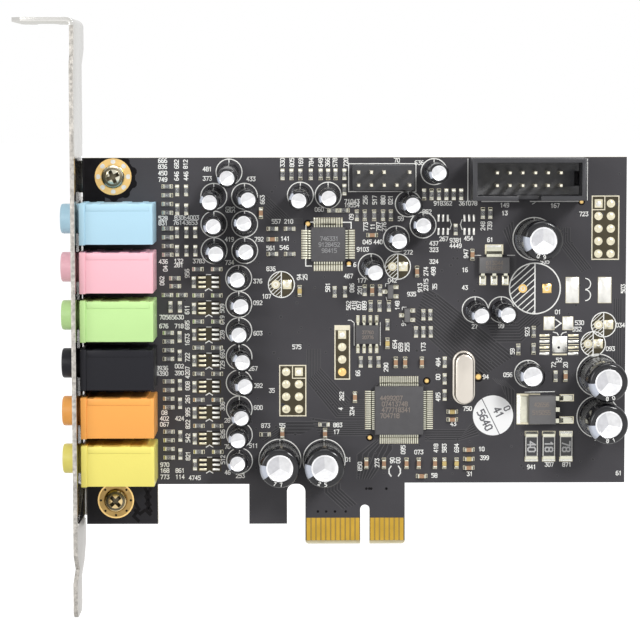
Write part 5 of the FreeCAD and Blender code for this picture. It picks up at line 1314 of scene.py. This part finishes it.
bm = bmesh.new()
back = -boardThick
for kind, places in canPlaces.items():
    for x, y, *lean in places:
        for side in (-1, 1):
            joint(x + side * canLook[kind]["leg"], y, 0.8)
for look in (header, plainHeader):
    for x, y in pinGrid(look):
        joint(x, y, 0.88, 0.36, 1.4)
for side in (-1, 1):
    joint(crystal["place"][0], crystal["place"][1] + side * 2.44, 0.75, 0.22, 1.2)
jackLegs = ((-55.0, 2.3), (-50.6, -2.5), (-50.6, 2.5), (-46.4, -2.5), (-46.4, 2.5), (-43.6, 0))
for middle in jackMiddles:
    for x, up in jackLegs:
        joint(x, middle + up, 1.0, 0.42, 1.5)
for look in padArrays.values():
    for column in look["columns"]:
        for row in range(look["rows"]):
            disc(bm, column, look["top"] - row * pinPitch, back - 0.16, back, 0.4, 20, 0, top=0.86)
for x, y, radius, reach in emptyCans:
    for side in (-1, 1):
        ring(bm, x + side * reach, y, 0.9, 0.4, back - 0.05, back, 2)
finishPiece("solder_side_joints", bm, ["solder", "leadTin", "padTin"], angle=50)

backBundles = [
    (9, [(-40.0, 70.0), (-22.0, 70.0), (-8.0, 58.0), (-8.0, 46.0)],
     [(-40.0, 64.0), (-24.0, 64.0), (-12.0, 53.0), (-12.0, 46.0)]),
    (12, [(-40.0, 52.0), (-28.0, 52.0), (-18.0, 42.0), (-2.0, 42.0)],
     [(-40.0, 40.0), (-31.0, 40.0), (-24.0, 33.0), (-2.0, 33.0)]),
    (10, [(-38.0, 30.0), (-20.0, 30.0), (-14.0, 24.0), (-14.0, 16.0)],
     [(-38.0, 22.0), (-24.0, 22.0), (-22.0, 20.0), (-22.0, 16.0)]),
    (14, [(2.0, 70.0), (2.0, 58.0), (16.0, 44.0), (40.0, 44.0)],
     [(14.0, 70.0), (14.0, 62.0), (24.0, 52.0), (40.0, 52.0)]),
    (8, [(22.0, 68.0), (42.0, 68.0), (45.0, 65.0), (45.0, 50.0)],
     [(22.0, 62.0), (40.0, 62.0), (41.0, 61.0), (41.0, 50.0)]),
    (10, [(-6.0, 30.0), (6.0, 18.0), (6.0, 8.0)], [(-11.0, 27.0), (-8.0, 16.0), (-8.0, 8.0)]),
    (9, [(10.0, 36.0), (20.0, 36.0), (30.0, 26.0), (50.0, 26.0)],
     [(10.0, 30.0), (16.0, 30.0), (26.0, 18.0), (50.0, 18.0)]),
]
bm = bmesh.new()
for count, first, last in backBundles:
    bundle(count, first, last, back - tracks["high"])
for index in range(tracks["backHoles"]):        # one in six is bare
    x, y = dice.uniform(-41, 52), dice.uniform(14, 78)
    disc(bm, x, y, back - 0.014, back, 0.32, 8, int(index % 6 == 0))
    disc(bm, x, y, back - 0.02, back, 0.2, 8, 2)
finishPiece("solder_side_lines", bm, ["maskOverLine", "padTin", "maskOverGap"])

bm = bmesh.new()
fromBehind = Matrix.Rotation(math.pi, 4, "Y")
for x in (-36.0, -20.0, 0.5, 12.5, 28.0, 40.0):
    for y in (69.3, 57.0, 38.5, 21.5):
        number(bm, 3, printLook["back"], spot(x, y, back) @ fromBehind)
finishPiece("solder_side_numbers", bm, ["boardPrint"])
print("board dressed")


# Floor, light and camera

def raysToEye(tree):        # 1 for rays from the camera, and for those that metal or glass sends on
    path = tree.nodes.new("ShaderNodeLightPath")
    seen = path.outputs["Is Camera Ray"]
    for ray in ("Is Glossy Ray", "Is Transmission Ray"):
        seen = addNode(tree, "Math", {0: seen, 1: path.outputs[ray]}, operation="MAXIMUM")
    return seen


backdrop = {"grey": 0.36, "glow": 0.84, "half": 6, "below": 0.00002}
studio = {"light": 0.5, "white": 1.0}


def backdropFinish():       # plain and pale, it keeps the object's shadow
    material = bpy.data.materials.new("backdrop")
    material.use_nodes = True
    tree = material.node_tree
    glow = addNode(tree, "Math", {0: raysToEye(tree), 1: backdrop["glow"]}, operation="MULTIPLY")
    sockets = {"Base Color": (*[backdrop["grey"]] * 3, 1), "Roughness": 0.9, "Specular IOR Level": 0.1,
               "Emission Color": (1, 1, 1, 1), "Emission Strength": glow}
    for socket, value in sockets.items():
        feed(tree, tree.nodes["Principled BSDF"].inputs[socket], value)
    return material


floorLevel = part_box("bracket")[0].z - backdrop["below"]
bm = bmesh.new()
bmesh.ops.create_grid(bm, x_segments=2, y_segments=2, size=backdrop["half"],
                      matrix=Matrix.Translation((0, 0, floorLevel)))
floor = bpy.data.objects.new("floor", asTemplate(bm))
floor.data.materials.append(backdropFinish())
bpy.context.scene.collection.objects.link(floor)

world = bpy.data.worlds.new("studio")
bpy.context.scene.world = world
world.use_nodes = True
tree = world.node_tree
levels = {"Value": raysToEye(tree), "To Min": studio["light"], "To Max": studio["white"]}
background = tree.nodes["Background"]
feed(tree, background.inputs["Color"], (1, 1, 1, 1))
feed(tree, background.inputs["Strength"], addNode(tree, "MapRange", levels, "Result"))

lamps = {       # place, size, power
    "keyLight": ((0.40, -0.56, 0.46), 0.2, 4.2),
    "fillLight": ((-0.50, -0.60, 0.22), 0.4, 1.95),
    "topLight": ((0.0, 0.05, 0.75), 0.5, 2.0),
}
lampAim = Vector((0, 0, 0.04))
for name, (place, size, power) in lamps.items():
    data = bpy.data.lights.new(name, "AREA")
    data.shape = "DISK"
    data.size = size
    data.energy = power
    lamp = bpy.data.objects.new(name, data)
    lamp.location = place
    lamp.rotation_euler = (lampAim - Vector(place)).to_track_quat("-Z", "Y").to_euler()
    bpy.context.scene.collection.objects.link(lamp)

view = {"lens": 141.907, "place": (-0.0096969, -0.5109769, 0.0898391), "heading": -0.0012, "pitch": 0.0844,
        "roll": -0.0019}
cameraData = bpy.data.cameras.new("camera")
cameraData.lens = view["lens"]
cameraData.sensor_width = 36
cameraData.sensor_fit = "HORIZONTAL"
cameraData.clip_start = 0.01
camera = bpy.data.objects.new("camera", cameraData)
camera.location = view["place"]
facing = Matrix.Rotation(view["heading"], 4, "Z") @ Matrix.Rotation(quarterTurn - view["pitch"], 4, "X")
camera.rotation_euler = (facing @ Matrix.Rotation(view["roll"], 4, "Z")).to_euler()
bpy.context.scene.collection.objects.link(camera)
bpy.context.scene.camera = camera
bpy.context.scene.view_settings.view_transform = "Standard"
print("camera and light placed")
